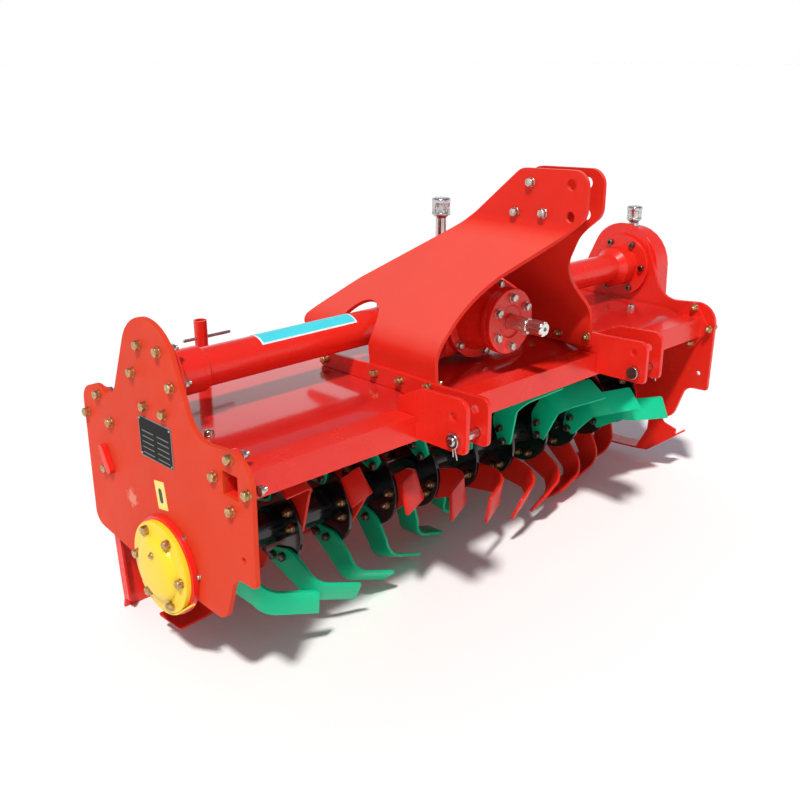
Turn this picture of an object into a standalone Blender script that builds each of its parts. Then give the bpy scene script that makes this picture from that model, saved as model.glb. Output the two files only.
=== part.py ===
"""Rotary tiller for a tractor's three-point hitch, modelled as separate sub-parts.

Sizes are millimetres. The drawing frame has its origin on the rotor's axis, halfway
between the hitch arms: +X runs along the rotor to the chain case, -Y is the tractor's
side and +Z is up. The model frame stands on the floor under the middle of the machine.
"""
import math

import bmesh
import bpy
from mathutils import Vector

MM = 0.001
TOUCH = 0.3

# Driving dimensions
TINE_RADIUS = 250.0
PLATE_LEFT_X = -852.0
PLATE_RIGHT_X = 858.0
PLATE_WALL = 12.0
HUMP_Y = 18.0
HUMP_Z = 416.0
BEAM_SIDE = 61.0
BEAM_WALL = 5.0
BEAM_Y = -251.0
BEAM_Z = 266.0
REAR_TUBE_Y = 263.0
REAR_TUBE_Z = 272.0
REAR_TUBE_RADIUS = 30.0
REAR_TUBE_WALL = 8.0
END_FLANGE_WALL = 12.0
BEAM_FLANGE_RADIUS = 74.0
REAR_FLANGE_RADIUS = 66.0

# Cross tubes that carry the side drive, one each side of the gearbox
TUBE_RADIUS = 43.0
TUBE_WALL = 6.0
TUBE_FLANGE_RADIUS = 97.0
TUBE_FLANGE_WALL = 14.0
COLLAR_RADIUS = 50.0
COLLAR_LENGTH = 104.0
NECK_RADIUS = 60.0
NECK_LENGTH = 62.0

# Centre gearbox and its input
GEARBOX_HALF = 104.0
GEARBOX_FRONT_Y = -112.0
GEARBOX_REAR_Y = 142.0
GEARBOX_TOP_Z = 528.0
GEARBOX_BOTTOM_Z = 322.0
PTO_Z = 431.0
PTO_RADIUS = 18.6
PTO_TIP_Y = -336.0
PTO_SPLINES = 6
PTO_GROOVE_FROM_TIP = 44.0
INPUT_FLANGE_Y = -232.0
INPUT_FLANGE_RADIUS = 82.0
INPUT_FLANGE_WALL = 16.0
NOSE_FLANGE_RADIUS = 112.0
NOSE_FLANGE_WALL = 16.0
NOSE_ROOT_RADIUS = 90.0
NOSE_TIP_RADIUS = 68.0
NOSE_WALL = 14.0
TUBE_END_RADIUS = 84.0
TUBE_END_WALL = 14.0
SIDE_FLANGE_RADIUS = 98.0
SIDE_FLANGE_WALL = 16.0
LID_HALF = 78.0
LID_WALL = 12.0
REAR_COVER_RADIUS = 82.0
REAR_COVER_WALL = 14.0
BREATHER_RADIUS = 10.0
BREATHER_CAP_RADIUS = 22.0
BREATHER_CAP_HEIGHT = 46.0
BREATHER_FOOT = 12.0
BREATHER_X = 8.0
GEARBOX_BREATHER_RISE = 166.0
CASE_BREATHER_RISE = 62.0

# Side chain case on the right
CASE_DEPTH = 66.0
CASE_TOP_RADIUS = 118.0
CASE_FOOT_RADIUS = 112.0
CASE_COVER_WALL = 9.0
CASE_COVER_INSET = 12.0

# Rotor
ROTOR_TUBE_RADIUS = 44.5
ROTOR_TUBE_WALL = 8.0
DISC_COUNT = 11
DISC_LEFT_GAP = 117.0
DISC_RIGHT_GAP = 55.0
DISC_RADIUS = 103.0
DISC_WALL = 10.0
ROTOR_END_GAP = 6.0
BEARING_HOUSING_RADIUS = 78.0
BEARING_HOUSING_WALL = 22.0
STUB_RADIUS = 27.0
STUB_FLANGE_RADIUS = 70.0
STUB_FLANGE_WALL = 12.0
RUNNING_FIT = 0.4

# Tine: a strip bolted to one face of the disc, bent across it into a sideways lip.
# Along is measured out from the rotor's axis, aside square to it, ahead in the turn.
TINE_WALL = 8.0
TINE_SEAT = 0.2
TINE_ARM = (
    # low corner along, aside, high corner along, aside
    (76.0, -5.0, 35.0, 46.0),
    (92.0, -10.0, 58.0, 79.0),
    (128.0, -18.0, 132.0, 66.0),
)
TINE_BEND_ASIDE = 14.0
TINE_BEND_WIDTH = 70.0
TINE_BEND_SLANT = 10.0
TINE_TIP_ASIDE = 40.0
TINE_TIP_WIDTH = 72.0
TINE_TIP_SLANT = 13.0
TINE_BEND_RADIUS = 26.0
TINE_BEND_ANGLE = 72.0
TINE_PHASE = 281.0
TINE_HELIX = 180.0 / 11
TINE_KINDS = (
    # side the lip bends to, turn from the first kind, reach of the lip past the disc
    (1, 0.0, 118.0),
    (-1, -94.0, 92.0),
)
TINES_PER_SIDE = 2
TINE_END_GAP = 15.0

# Bearing cover on the left plate
RING_RADIUS = 112.0
RING_WALL = 15.0
COVER_RADIUS = 105.0
COVER_WALL = 13.0
DOME_RADIUS = 66.0
DOME_HEIGHT = 20.0

# Hitch
HITCH_HALF_SPAN = 341.5
CLEVIS_HALF = 40.5
HITCH_PLATE_WALL = 12.0
LOWER_PIN_Y = -402.0
LOWER_PIN_Z = 273.0
UPPER_HOLE_Y = -396.0
UPPER_HOLE_Z = 324.0
HITCH_PIN_RADIUS = 11.0
HITCH_PIN_HEAD_RADIUS = 17.0
HITCH_PIN_HEAD = 12.0
HITCH_PIN_PLAY = 2.0
HITCH_PIN_TAIL = 16.0
HITCH_HOLE_RADIUS = 10.0

# Mast: an upright ear, a sloping wing and an upright foot, one bent plate each side
MAST_WALL = 10.0
EAR_HALF_GAP = 25.0
EAR_BEND_Z = 665.0
FOOT_BEND_Z = 415.0
TOP_HOLE_Y = -414.0
TOP_HOLE_Z = (779.0, 709.0)
TOP_HOLE_RADIUS = 12.7
ARCH_CLEARANCE = 19.0

# Hood
DECK_Z = 308.0
DECK_WALL = 4.0
DECK_FOLD_Y = -160.0
DECK_REAR_FOLD_Y = 176.0
DECK_FRONT_Z = 288.0
DECK_LIP = 16.0
HOOD_END_GAP = END_FLANGE_WALL + TOUCH

# Trailing board
BOARD_HINGE_Y = 280.0
BOARD_HINGE_Z = 200.0
BOARD_WALL = 6.0
BOARD_END_GAP = 14.0
BARREL_RADIUS = 15.0
BARREL_LENGTH = 70.0
BARREL_END_GAP = 2.0
HINGE_PIN_RADIUS = 8.0
HINGE_PIN_CLEARANCE = 0.5
HINGE_X = (-690.0, -240.0, 240.0, 690.0)
LUG_WALL = 8.0
LUG_RADIUS = 17.0
BOARD_RIB_WALL = 6.0
BOARD_RIB_DEPTH = 24.0
BOARD_RIB_X = (-465.0, 0.0, 465.0)
BOARD_END_DEPTH = 26.0
BOARD_LINE_FACE = 300.0
BOARD_BAR_DEPTH = 30.0
BOARD_BAR_INSET = 20.0
BOARD_BARS = (
    # lower z, upper z
    (29.0 - TINE_RADIUS, 52.0 - TINE_RADIUS),
    (20.0, 43.0),
)
BOARD_LIP_RISE = 1.65

# Board adjuster: a sleeve on the rear tube with a pin through it
SLEEVE_RADIUS = 16.0
SLEEVE_WALL = 4.0
SLEEVE_X = -570.0
SLEEVE_TOP_Z = 446.0
SLEEVE_PIN_RADIUS = 4.0
SLEEVE_PIN_Z = 402.0
SLEEVE_PIN_X = (-621.0, -487.0)

# Small plates on the left side: the strip under the cover and the lug on the plate
GUARD_ANGLES = range(-38, -142, -8)
GUARD_WIDTH = 12.0
GUARD_WALL = 4.0
GUARD_TIP = (-118.0, -46.0)
PLATE_LUG_WALL = 14.0

# Skid under the chain case
SKID_WIDTH = 62.0
SKID_WALL = 6.0
SKID_WEB_WALL = 8.0

# Inspection holes near the front edge of both side plates
PLATE_HOLE = (-283.0, 117.0)
PLATE_HOLE_RADIUS = 7.0

# Machine extents that place the model frame
EXTENT_LEFT = PLATE_LEFT_X - RING_WALL - COVER_WALL - DOME_HEIGHT - 2 * TOUCH
EXTENT_RIGHT = PLATE_RIGHT_X + PLATE_WALL + CASE_DEPTH + CASE_COVER_WALL + 2 * TOUCH
EXTENT_FRONT = -467.0
EXTENT_REAR = 334.0
MID_X = (EXTENT_LEFT + EXTENT_RIGHT) / 2
MID_Y = (EXTENT_FRONT + EXTENT_REAR) / 2

RED = (0.68, 0.022, 0.012)
BLACK = (0.012, 0.012, 0.013)
YELLOW = (0.85, 0.62, 0.03)
CHROME = (0.62, 0.62, 0.62)


def model_point(x, y, z):
    """Turn a drawing point in mm into a model point in metres."""
    return Vector(((x - MID_X) * MM, (y - MID_Y) * MM, (z + TINE_RADIUS) * MM))


def finish_of(name, color, roughness, metallic):
    """Make the Principled material of one sub-part."""
    material = bpy.data.materials.new(name + "_finish")
    material.use_nodes = True
    shader = material.node_tree.nodes["Principled BSDF"]
    shader.inputs["Base Color"].default_value = (*color, 1.0)
    shader.inputs["Roughness"].default_value = roughness
    shader.inputs["Metallic"].default_value = metallic
    return material


def make_object(name, bm, color=RED, roughness=0.25, metallic=0.0, pivot=None):
    """Store a mesh drawn in mm as an object whose origin is the pivot."""
    origin = model_point(*pivot) if pivot else Vector((0.0, 0.0, 0.0))
    bmesh.ops.recalc_face_normals(bm, faces=bm.faces[:])
    for vertex in bm.verts:
        vertex.co = model_point(*vertex.co) - origin
    mesh = bpy.data.meshes.new(name)
    bm.to_mesh(mesh)
    bm.free()
    mesh.shade_smooth()
    mesh.set_sharp_from_angle(angle=math.radians(32))
    mesh.materials.append(finish_of(name, color, roughness, metallic))
    obj = bpy.data.objects.new(name, mesh)
    bpy.context.scene.collection.objects.link(obj)
    obj.location = origin
    return obj


def combine(target, others, operation="UNION"):
    """Apply an exact Boolean of each other object to the target."""
    for other in others:
        modifier = target.modifiers.new(operation.title(), "BOOLEAN")
        modifier.operation = operation
        modifier.solver = "EXACT"
        modifier.object = other
    bpy.context.view_layer.update()
    evaluated = target.evaluated_get(bpy.context.evaluated_depsgraph_get())
    mesh = bpy.data.meshes.new_from_object(evaluated)
    material = target.data.materials[0]
    target.modifiers.clear()
    target.data = mesh
    mesh.materials.clear()
    mesh.materials.append(material)
    for other in others:
        bpy.data.objects.remove(other)
    return target


# Outlines

def circle(cy, cz, radius, count=32, start=0.0):
    """Points of a circle in a plane."""
    points = []
    for i in range(count):
        angle = start + 2 * math.pi * i / count
        points.append((cy + radius * math.cos(angle), cz + radius * math.sin(angle)))
    return points


def filleted(corners, steps=5):
    """Turn corners (a, b, radius) into an outline with round corners."""
    points = []
    count = len(corners)
    for i, (a, b, radius) in enumerate(corners):
        here = Vector((a, b))
        if radius <= 0:
            points.append((a, b))
            continue
        before = (Vector(corners[i - 1][:2]) - here)
        after = (Vector(corners[(i + 1) % count][:2]) - here)
        half = before.angle(after) / 2
        reach = radius / math.tan(half)
        centre = here + (before.normalized() + after.normalized()).normalized() * (radius / math.sin(half))
        first = here + before.normalized() * reach - centre
        last = here + after.normalized() * reach - centre
        turn = first.angle_signed(last)
        for step in range(steps + 1):
            angle = -turn * step / steps
            spoke = Vector((first.x * math.cos(angle) - first.y * math.sin(angle),
                            first.x * math.sin(angle) + first.y * math.cos(angle)))
            points.append(tuple(centre + spoke))
    return points


def slot_outline(top, bottom, steps=14):
    """Outline around two circles (cy, cz, radius), joined by their outer tangents."""
    (ty, tz, tr), (by, bz, br) = top, bottom
    distance = math.hypot(ty - by, tz - bz)
    axis = math.atan2(tz - bz, ty - by)
    lean = math.acos((br - tr) / distance)
    points = []
    for step in range(steps + 1):
        angle = axis - lean + 2 * lean * step / steps
        points.append((ty + tr * math.cos(angle), tz + tr * math.sin(angle)))
    for step in range(steps + 1):
        angle = axis + lean + 2 * (math.pi - lean) * step / steps
        points.append((by + br * math.cos(angle), bz + br * math.sin(angle)))
    return points


def sheet_mesh(loops, place):
    """Fill an outline and its holes with triangles; place(a, b) gives each 3-D point."""
    bm = bmesh.new()
    edges = []
    for loop in loops:
        verts = [bm.verts.new(place(a, b)) for a, b in loop]
        for i, vert in enumerate(verts):
            edges.append(bm.edges.new((vert, verts[(i + 1) % len(verts)])))
    bmesh.ops.triangle_fill(bm, use_beauty=True, use_dissolve=False, edges=edges)
    return bm


def extruded(loops, axis, low, high):
    """Extrude an outline with holes along X, Y or Z from low to high."""
    places = {
        "X": lambda a, b: (low, a, b),
        "Y": lambda a, b: (a, low, b),
        "Z": lambda a, b: (a, b, low),
    }
    step = {"X": (high - low, 0, 0), "Y": (0, high - low, 0), "Z": (0, 0, high - low)}[axis]
    bm = sheet_mesh(loops, places[axis])
    grown = bmesh.ops.extrude_face_region(bm, geom=bm.faces[:])
    moved = [item for item in grown["geom"] if isinstance(item, bmesh.types.BMVert)]
    bmesh.ops.translate(bm, vec=step, verts=moved)
    return bm


def turned(profile, axis, centre, count=32):
    """Turn a closed profile of (along, radius) points about an X, Y or Z axis."""
    bm = bmesh.new()
    rings = []
    for along, radius in profile:
        ring = []
        for i in range(count if radius > 0 else 1):
            angle = 2 * math.pi * i / count
            a, b = radius * math.cos(angle), radius * math.sin(angle)
            point = {"X": (along, centre[0] + a, centre[1] + b),
                     "Y": (centre[0] + a, along, centre[1] + b),
                     "Z": (centre[0] + a, centre[1] + b, along)}[axis]
            ring.append(bm.verts.new(point))
        rings.append(ring)
    closed = profile[0][1] > 0
    pairs = list(zip(rings, rings[1:]))
    if closed:
        pairs.append((rings[-1], rings[0]))
    for first, second in pairs:
        for i in range(count):
            j = (i + 1) % count
            corners = [first[i % len(first)], first[j % len(first)],
                       second[j % len(second)], second[i % len(second)]]
            bm.faces.new(list(dict.fromkeys(corners)))
    return bm


def rod(start, end, radius, count=12, overhang=0.0):
    """A round bar between two drawing points."""
    a, b = Vector(start), Vector(end)
    along = (b - a).normalized()
    a, b = a - along * overhang, b + along * overhang
    side = along.orthogonal().normalized()
    other = along.cross(side)
    bm = bmesh.new()
    rings = []
    for point in (a, b):
        ring = []
        for i in range(count):
            angle = 2 * math.pi * i / count
            ring.append(bm.verts.new(point + radius * (side * math.cos(angle) + other * math.sin(angle))))
        rings.append(ring)
    for i in range(count):
        j = (i + 1) % count
        bm.faces.new((rings[0][i], rings[0][j], rings[1][j], rings[1][i]))
    bm.faces.new(rings[0][::-1])
    bm.faces.new(rings[1])
    return bm


def lofted(sections):
    """Skin a list of four-cornered sections into one closed body."""
    bm = bmesh.new()
    rings = [[bm.verts.new(point) for point in section] for section in sections]
    for first, second in zip(rings, rings[1:]):
        for i in range(len(first)):
            j = (i + 1) % len(first)
            bm.faces.new((first[i], first[j], second[j], second[i]))
    bm.faces.new(rings[0][::-1])
    bm.faces.new(rings[-1])
    return bm


# Side plates

SIDE_OUTLINE = (
    # y, z, corner radius
    (HUMP_Y, HUMP_Z + 260, 105.0),
    (206.0, 330.0, 42.0),
    (262.0, 352.0, 46.0),
    (EXTENT_REAR, 326.0, 46.0),
    (EXTENT_REAR, -14.0, 36.0),
    (165.0, -38.0, 150.0),
    (-206.0, -55.0, 42.0),
    (-246.0, 64.0, 38.0),
    (-318.0, 67.0, 8.0),
    (-322.0, 344.0, 62.0),
    (-150.0, 326.0, 52.0),
)


def side_outline():
    """Outline shared by both side plates."""
    return filleted(SIDE_OUTLINE, steps=6)


def side_plate(name, x_low):
    """One side plate with the openings for beam, tubes and rotor bearing."""
    square = BEAM_SIDE / 2 - BEAM_WALL
    beam_bore = [(BEAM_Y - square, BEAM_Z - square), (BEAM_Y + square, BEAM_Z - square),
                 (BEAM_Y + square, BEAM_Z + square), (BEAM_Y - square, BEAM_Z + square)]
    loops = [side_outline(), beam_bore, circle(*PLATE_HOLE, PLATE_HOLE_RADIUS, 12)]
    return make_object(name, extruded(loops, "X", x_low, x_low + PLATE_WALL))


def make_side_plates():
    side_plate("side_plate_left", PLATE_LEFT_X)
    side_plate("side_plate_right", PLATE_RIGHT_X)


INNER_LEFT = PLATE_LEFT_X + PLATE_WALL + TOUCH
INNER_RIGHT = PLATE_RIGHT_X - TOUCH


def make_front_beam():
    """Square beam welded to an end flange at each plate."""
    half = BEAM_SIDE / 2
    bore = half - BEAM_WALL
    square = [(BEAM_Y - half, BEAM_Z - half), (BEAM_Y + half, BEAM_Z - half),
              (BEAM_Y + half, BEAM_Z + half), (BEAM_Y - half, BEAM_Z + half)]
    hole = [(BEAM_Y - bore, BEAM_Z - bore), (BEAM_Y + bore, BEAM_Z - bore),
            (BEAM_Y + bore, BEAM_Z + bore), (BEAM_Y - bore, BEAM_Z + bore)]
    bm = extruded([square, hole], "X", INNER_LEFT, INNER_RIGHT)
    beam = make_object("front_beam", bm)
    flanges = []
    for low in (INNER_LEFT, INNER_RIGHT - END_FLANGE_WALL):
        reach = BEAM_FLANGE_RADIUS
        diamond = filleted([(BEAM_Y, BEAM_Z + reach + 8, 20.0), (BEAM_Y + reach + 8, BEAM_Z, 20.0),
                            (BEAM_Y, BEAM_Z - reach - 8, 20.0), (BEAM_Y - reach + 16, BEAM_Z, 20.0)], 4)
        flange = extruded([diamond, hole], "X", low, low + END_FLANGE_WALL)
        flanges.append(make_object("flange", flange))
    return combine(beam, flanges)


def make_rear_tube():
    """Round tube with a flange at each plate."""
    bore = REAR_TUBE_RADIUS - REAR_TUBE_WALL
    low, high = INNER_LEFT, INNER_RIGHT
    profile = [
        (low, bore), (low, REAR_FLANGE_RADIUS), (low + END_FLANGE_WALL, REAR_FLANGE_RADIUS),
        (low + END_FLANGE_WALL, REAR_TUBE_RADIUS), (high - END_FLANGE_WALL, REAR_TUBE_RADIUS),
        (high - END_FLANGE_WALL, REAR_FLANGE_RADIUS), (high, REAR_FLANGE_RADIUS), (high, bore),
    ]
    tube = make_object("rear_tube", turned(profile, "X", (REAR_TUBE_Y, REAR_TUBE_Z), 24))
    make_hinge_lugs(tube)


def make_cross_tubes():
    """Left tube with its long collar, right tube with its wide neck."""
    bore = TUBE_RADIUS - TUBE_WALL
    face = GEARBOX_HALF + SIDE_FLANGE_WALL + TOUCH
    inner = face + TUBE_END_WALL
    left = [
        (INNER_LEFT, bore), (INNER_LEFT, TUBE_FLANGE_RADIUS),
        (INNER_LEFT + TUBE_FLANGE_WALL, TUBE_FLANGE_RADIUS),
        (INNER_LEFT + TUBE_FLANGE_WALL, COLLAR_RADIUS),
        (INNER_LEFT + COLLAR_LENGTH, COLLAR_RADIUS),
        (INNER_LEFT + COLLAR_LENGTH + 4, TUBE_RADIUS),
        (-inner, TUBE_RADIUS), (-inner, TUBE_END_RADIUS),
        (-face, TUBE_END_RADIUS), (-face, bore),
    ]
    make_object("cross_tube_left", turned(left, "X", (HUMP_Y, HUMP_Z), 40))
    right = [
        (INNER_RIGHT, bore), (INNER_RIGHT, TUBE_FLANGE_RADIUS),
        (INNER_RIGHT - TUBE_FLANGE_WALL, TUBE_FLANGE_RADIUS),
        (INNER_RIGHT - TUBE_FLANGE_WALL, NECK_RADIUS),
        (INNER_RIGHT - NECK_LENGTH, NECK_RADIUS),
        (INNER_RIGHT - NECK_LENGTH - 20, TUBE_RADIUS),
        (inner, TUBE_RADIUS), (inner, TUBE_END_RADIUS),
        (face, TUBE_END_RADIUS), (face, bore),
    ]
    make_object("cross_tube_right", turned(right, "X", (HUMP_Y, HUMP_Z), 40))


# Gearbox and input shaft

def make_gearbox():
    """Cast housing with a round flange on each side, a lid, a rear cover and the input neck."""
    low, high = GEARBOX_BOTTOM_Z, GEARBOX_TOP_Z
    side = filleted([(GEARBOX_REAR_Y, low, 40.0), (GEARBOX_REAR_Y, high, 70.0),
                     (GEARBOX_FRONT_Y, high, 46.0), (GEARBOX_FRONT_Y, low, 36.0)], 5)
    housing = make_object("gearbox_housing", extruded([side], "X", -GEARBOX_HALF, GEARBOX_HALF))
    flanges = []
    for direction in (-1, 1):
        root = direction * (GEARBOX_HALF - SIDE_FLANGE_WALL)
        tip = direction * (GEARBOX_HALF + SIDE_FLANGE_WALL)
        profile = [(root, 0.0), (root, SIDE_FLANGE_RADIUS), (tip, SIDE_FLANGE_RADIUS), (tip, 0.0)]
        flanges.append(make_object("flange", turned(profile, "X", (HUMP_Y, HUMP_Z), 36)))
    combine(housing, flanges)
    lid = [(HUMP_Y - LID_HALF, -LID_HALF, 16.0), (HUMP_Y + LID_HALF, -LID_HALF, 16.0),
           (HUMP_Y + LID_HALF, LID_HALF, 16.0), (HUMP_Y - LID_HALF, LID_HALF, 16.0)]
    outline = [(b, a) for a, b in filleted(lid, 4)]
    make_object("gearbox_lid", extruded([outline], "Z", high + TOUCH, high + TOUCH + LID_WALL))
    back = GEARBOX_REAR_Y + TOUCH
    rear = [(back, 0.0), (back, REAR_COVER_RADIUS), (back + REAR_COVER_WALL - 3, REAR_COVER_RADIUS),
            (back + REAR_COVER_WALL, REAR_COVER_RADIUS - 3), (back + REAR_COVER_WALL, 0.0)]
    make_object("gearbox_rear_cover", turned(rear, "Y", (0.0, PTO_Z), 32))
    front = GEARBOX_FRONT_Y - TOUCH
    flange_back = INPUT_FLANGE_Y + INPUT_FLANGE_WALL + TOUCH
    nose = [
        (front, NOSE_ROOT_RADIUS - NOSE_WALL), (front, NOSE_FLANGE_RADIUS),
        (front - NOSE_FLANGE_WALL, NOSE_FLANGE_RADIUS), (front - NOSE_FLANGE_WALL, NOSE_ROOT_RADIUS),
        (flange_back + 16, NOSE_TIP_RADIUS), (flange_back + 12, INPUT_FLANGE_RADIUS),
        (flange_back, INPUT_FLANGE_RADIUS), (flange_back, NOSE_TIP_RADIUS - NOSE_WALL),
    ]
    make_object("gearbox_nose", turned(nose, "Y", (0.0, PTO_Z), 32))
    seal = PTO_RADIUS + RUNNING_FIT
    cap = [
        (flange_back - TOUCH, seal), (flange_back - TOUCH, INPUT_FLANGE_RADIUS),
        (INPUT_FLANGE_Y + 2, INPUT_FLANGE_RADIUS), (INPUT_FLANGE_Y, INPUT_FLANGE_RADIUS - 2),
        (INPUT_FLANGE_Y, 42.0), (INPUT_FLANGE_Y + 5, 38.0), (INPUT_FLANGE_Y + 5, seal),
    ]
    make_object("input_cap", turned(cap, "Y", (0.0, PTO_Z), 32))


def make_pto_shaft():
    """Splined input shaft with the locking groove."""
    count = PTO_SPLINES * 8
    tip, groove = PTO_TIP_Y, PTO_TIP_Y + PTO_GROOVE_FROM_TIP
    stations = (
        # y, outer radius, spline depth
        (tip, PTO_RADIUS - 3.0, 0.6),
        (tip + 4, PTO_RADIUS, 3.4),
        (groove - 5, PTO_RADIUS, 3.4),
        (groove - 4, PTO_RADIUS - 3.4, 0.0),
        (groove + 4, PTO_RADIUS - 3.4, 0.0),
        (groove + 5, PTO_RADIUS, 3.4),
        (INPUT_FLANGE_Y - 14, PTO_RADIUS, 3.4),
        (INPUT_FLANGE_Y - 8, PTO_RADIUS, 0.0),
        (GEARBOX_FRONT_Y - 6.0, PTO_RADIUS, 0.0),
    )
    bm = bmesh.new()
    rings = []
    for y, radius, depth in stations:
        ring = []
        for i in range(count):
            angle = 2 * math.pi * (i + 0.5) / count
            reach = radius - depth if i % 8 in (5, 6) else radius
            ring.append(bm.verts.new((reach * math.cos(angle), y, PTO_Z + reach * math.sin(angle))))
        rings.append(ring)
    for first, second in zip(rings, rings[1:]):
        for i in range(count):
            j = (i + 1) % count
            bm.faces.new((first[i], first[j], second[j], second[i]))
    bm.faces.new(rings[0][::-1])
    bm.faces.new(rings[-1])
    make_object("pto_shaft", bm, CHROME, 0.2, 1.0, pivot=(0.0, PTO_TIP_Y, PTO_Z))


def make_breather(name, x, y, foot, rise):
    """Filler tube with a capped top."""
    top = foot + rise
    neck = top - BREATHER_CAP_HEIGHT
    profile = [
        (foot, 0.0), (foot, BREATHER_RADIUS + 4), (foot + BREATHER_FOOT, BREATHER_RADIUS + 4),
        (foot + BREATHER_FOOT, BREATHER_RADIUS), (neck, BREATHER_RADIUS), (neck, BREATHER_CAP_RADIUS),
        (top - 5, BREATHER_CAP_RADIUS), (top, BREATHER_CAP_RADIUS - 4), (top, 0.0),
    ]
    make_object(name, turned(profile, "Z", (x, y), 16), CHROME, 0.2, 1.0)


def make_chain_case():
    """Housing outside the right plate, its bolted cover and the shoe under it."""
    face = PLATE_RIGHT_X + PLATE_WALL + TOUCH
    outline = slot_outline((HUMP_Y, HUMP_Z, CASE_TOP_RADIUS), (0.0, 0.0, CASE_FOOT_RADIUS))
    case = make_object("chain_case", extruded([outline], "X", face, face + CASE_DEPTH))
    bevel = case.modifiers.new("Cast edge", "BEVEL")
    bevel.width = 7 * MM
    bevel.segments = 2
    bevel.limit_method = "ANGLE"
    bevel.angle_limit = math.radians(50)
    cover_face = face + CASE_DEPTH + TOUCH
    cover = slot_outline((HUMP_Y, HUMP_Z, CASE_TOP_RADIUS - CASE_COVER_INSET),
                         (0.0, 0.0, CASE_FOOT_RADIUS - CASE_COVER_INSET))
    make_object("chain_case_cover", extruded([cover], "X", cover_face, cover_face + CASE_COVER_WALL))


def make_bearing_cover():
    """Red ring, yellow flanged cover with its dome and the bent strip under it."""
    ring_out = PLATE_LEFT_X - TOUCH
    ring = [(ring_out, STUB_RADIUS + 6), (ring_out, RING_RADIUS),
            (ring_out - RING_WALL, RING_RADIUS), (ring_out - RING_WALL, STUB_RADIUS + 6)]
    make_object("bearing_ring", turned(ring, "X", (0.0, 0.0), 32))
    back = ring_out - RING_WALL - TOUCH
    front = back - COVER_WALL
    cover = [
        (back, 0.0), (back, COVER_RADIUS), (front + 3, COVER_RADIUS), (front, COVER_RADIUS - 3),
        (front, DOME_RADIUS + 6), (front - DOME_HEIGHT * 0.6, DOME_RADIUS - 6),
        (front - DOME_HEIGHT * 0.9, DOME_RADIUS - 18), (front - DOME_HEIGHT, DOME_RADIUS - 32),
        (front - DOME_HEIGHT, 0.0),
    ]
    make_object("bearing_cover", turned(cover, "X", (0.0, 0.0), 32), YELLOW, 0.35)
    rim = COVER_RADIUS + TOUCH + GUARD_WALL
    line = [(rim * math.cos(math.radians(a)), rim * math.sin(math.radians(a))) for a in GUARD_ANGLES]
    guard = strip_mesh([GUARD_TIP] + line[::-1], -GUARD_WALL, back - GUARD_WIDTH, back - TOUCH)
    make_object("cover_strip", guard, YELLOW, 0.35)


def make_plate_lug():
    """Small slanted lug bolted outside the left plate."""
    outline = slot_outline((248.0, 200.0, 10.0), (224.0, 156.0, 12.0), 6)
    outside = PLATE_LEFT_X - TOUCH
    make_object("plate_lug", extruded([outline], "X", outside - PLATE_LUG_WALL, outside))


SKID_LINE = (
    # y, z from the heel to the toe
    (204.0, -100.0),
    (196.0, -168.0),
    (162.0, -205.0),
    (8.0, -202.0),
    (-88.0, -195.0),
    (-122.0, -190.0),
    (-222.0, -112.0),
)
SKID_WEB = (
    # y, z, corner radius
    (-78.0, -192.0, 4.0),
    (-120.0, -186.0, 4.0),
    (-217.0, -111.0, 3.0),
    (-219.0, -92.0, 3.0),
    (-169.0, -78.0, 12.0),
    (-160.0, -14.0, 10.0),
    (-122.0, -14.0, 10.0),
    (-116.0, -118.0, 20.0),
)
SKID_HEEL = (
    # y, z, corner radius
    (158.0, -201.0, 6.0),
    (191.0, -166.0, 8.0),
    (200.0, -104.0, 4.0),
    (208.0, -10.0, 10.0),
    (170.0, -8.0, 10.0),
    (160.0, -140.0, 20.0),
)


def make_skid():
    """Bent runner under the chain case, its webs bolted to the right plate."""
    face = PLATE_RIGHT_X + PLATE_WALL + TOUCH
    line = [tuple(point) for point in reversed(SKID_LINE)]
    skid = make_object("chain_case_skid", strip_mesh(line, -SKID_WALL, face, face + SKID_WIDTH))
    webs = []
    for corners in (SKID_WEB, SKID_HEEL):
        outline = filleted(corners, 3)
        webs.append(make_object("web", extruded([outline], "X", face + 0.5, face + 0.5 + SKID_WEB_WALL)))
    combine(skid, webs)


# Rotor

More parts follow.
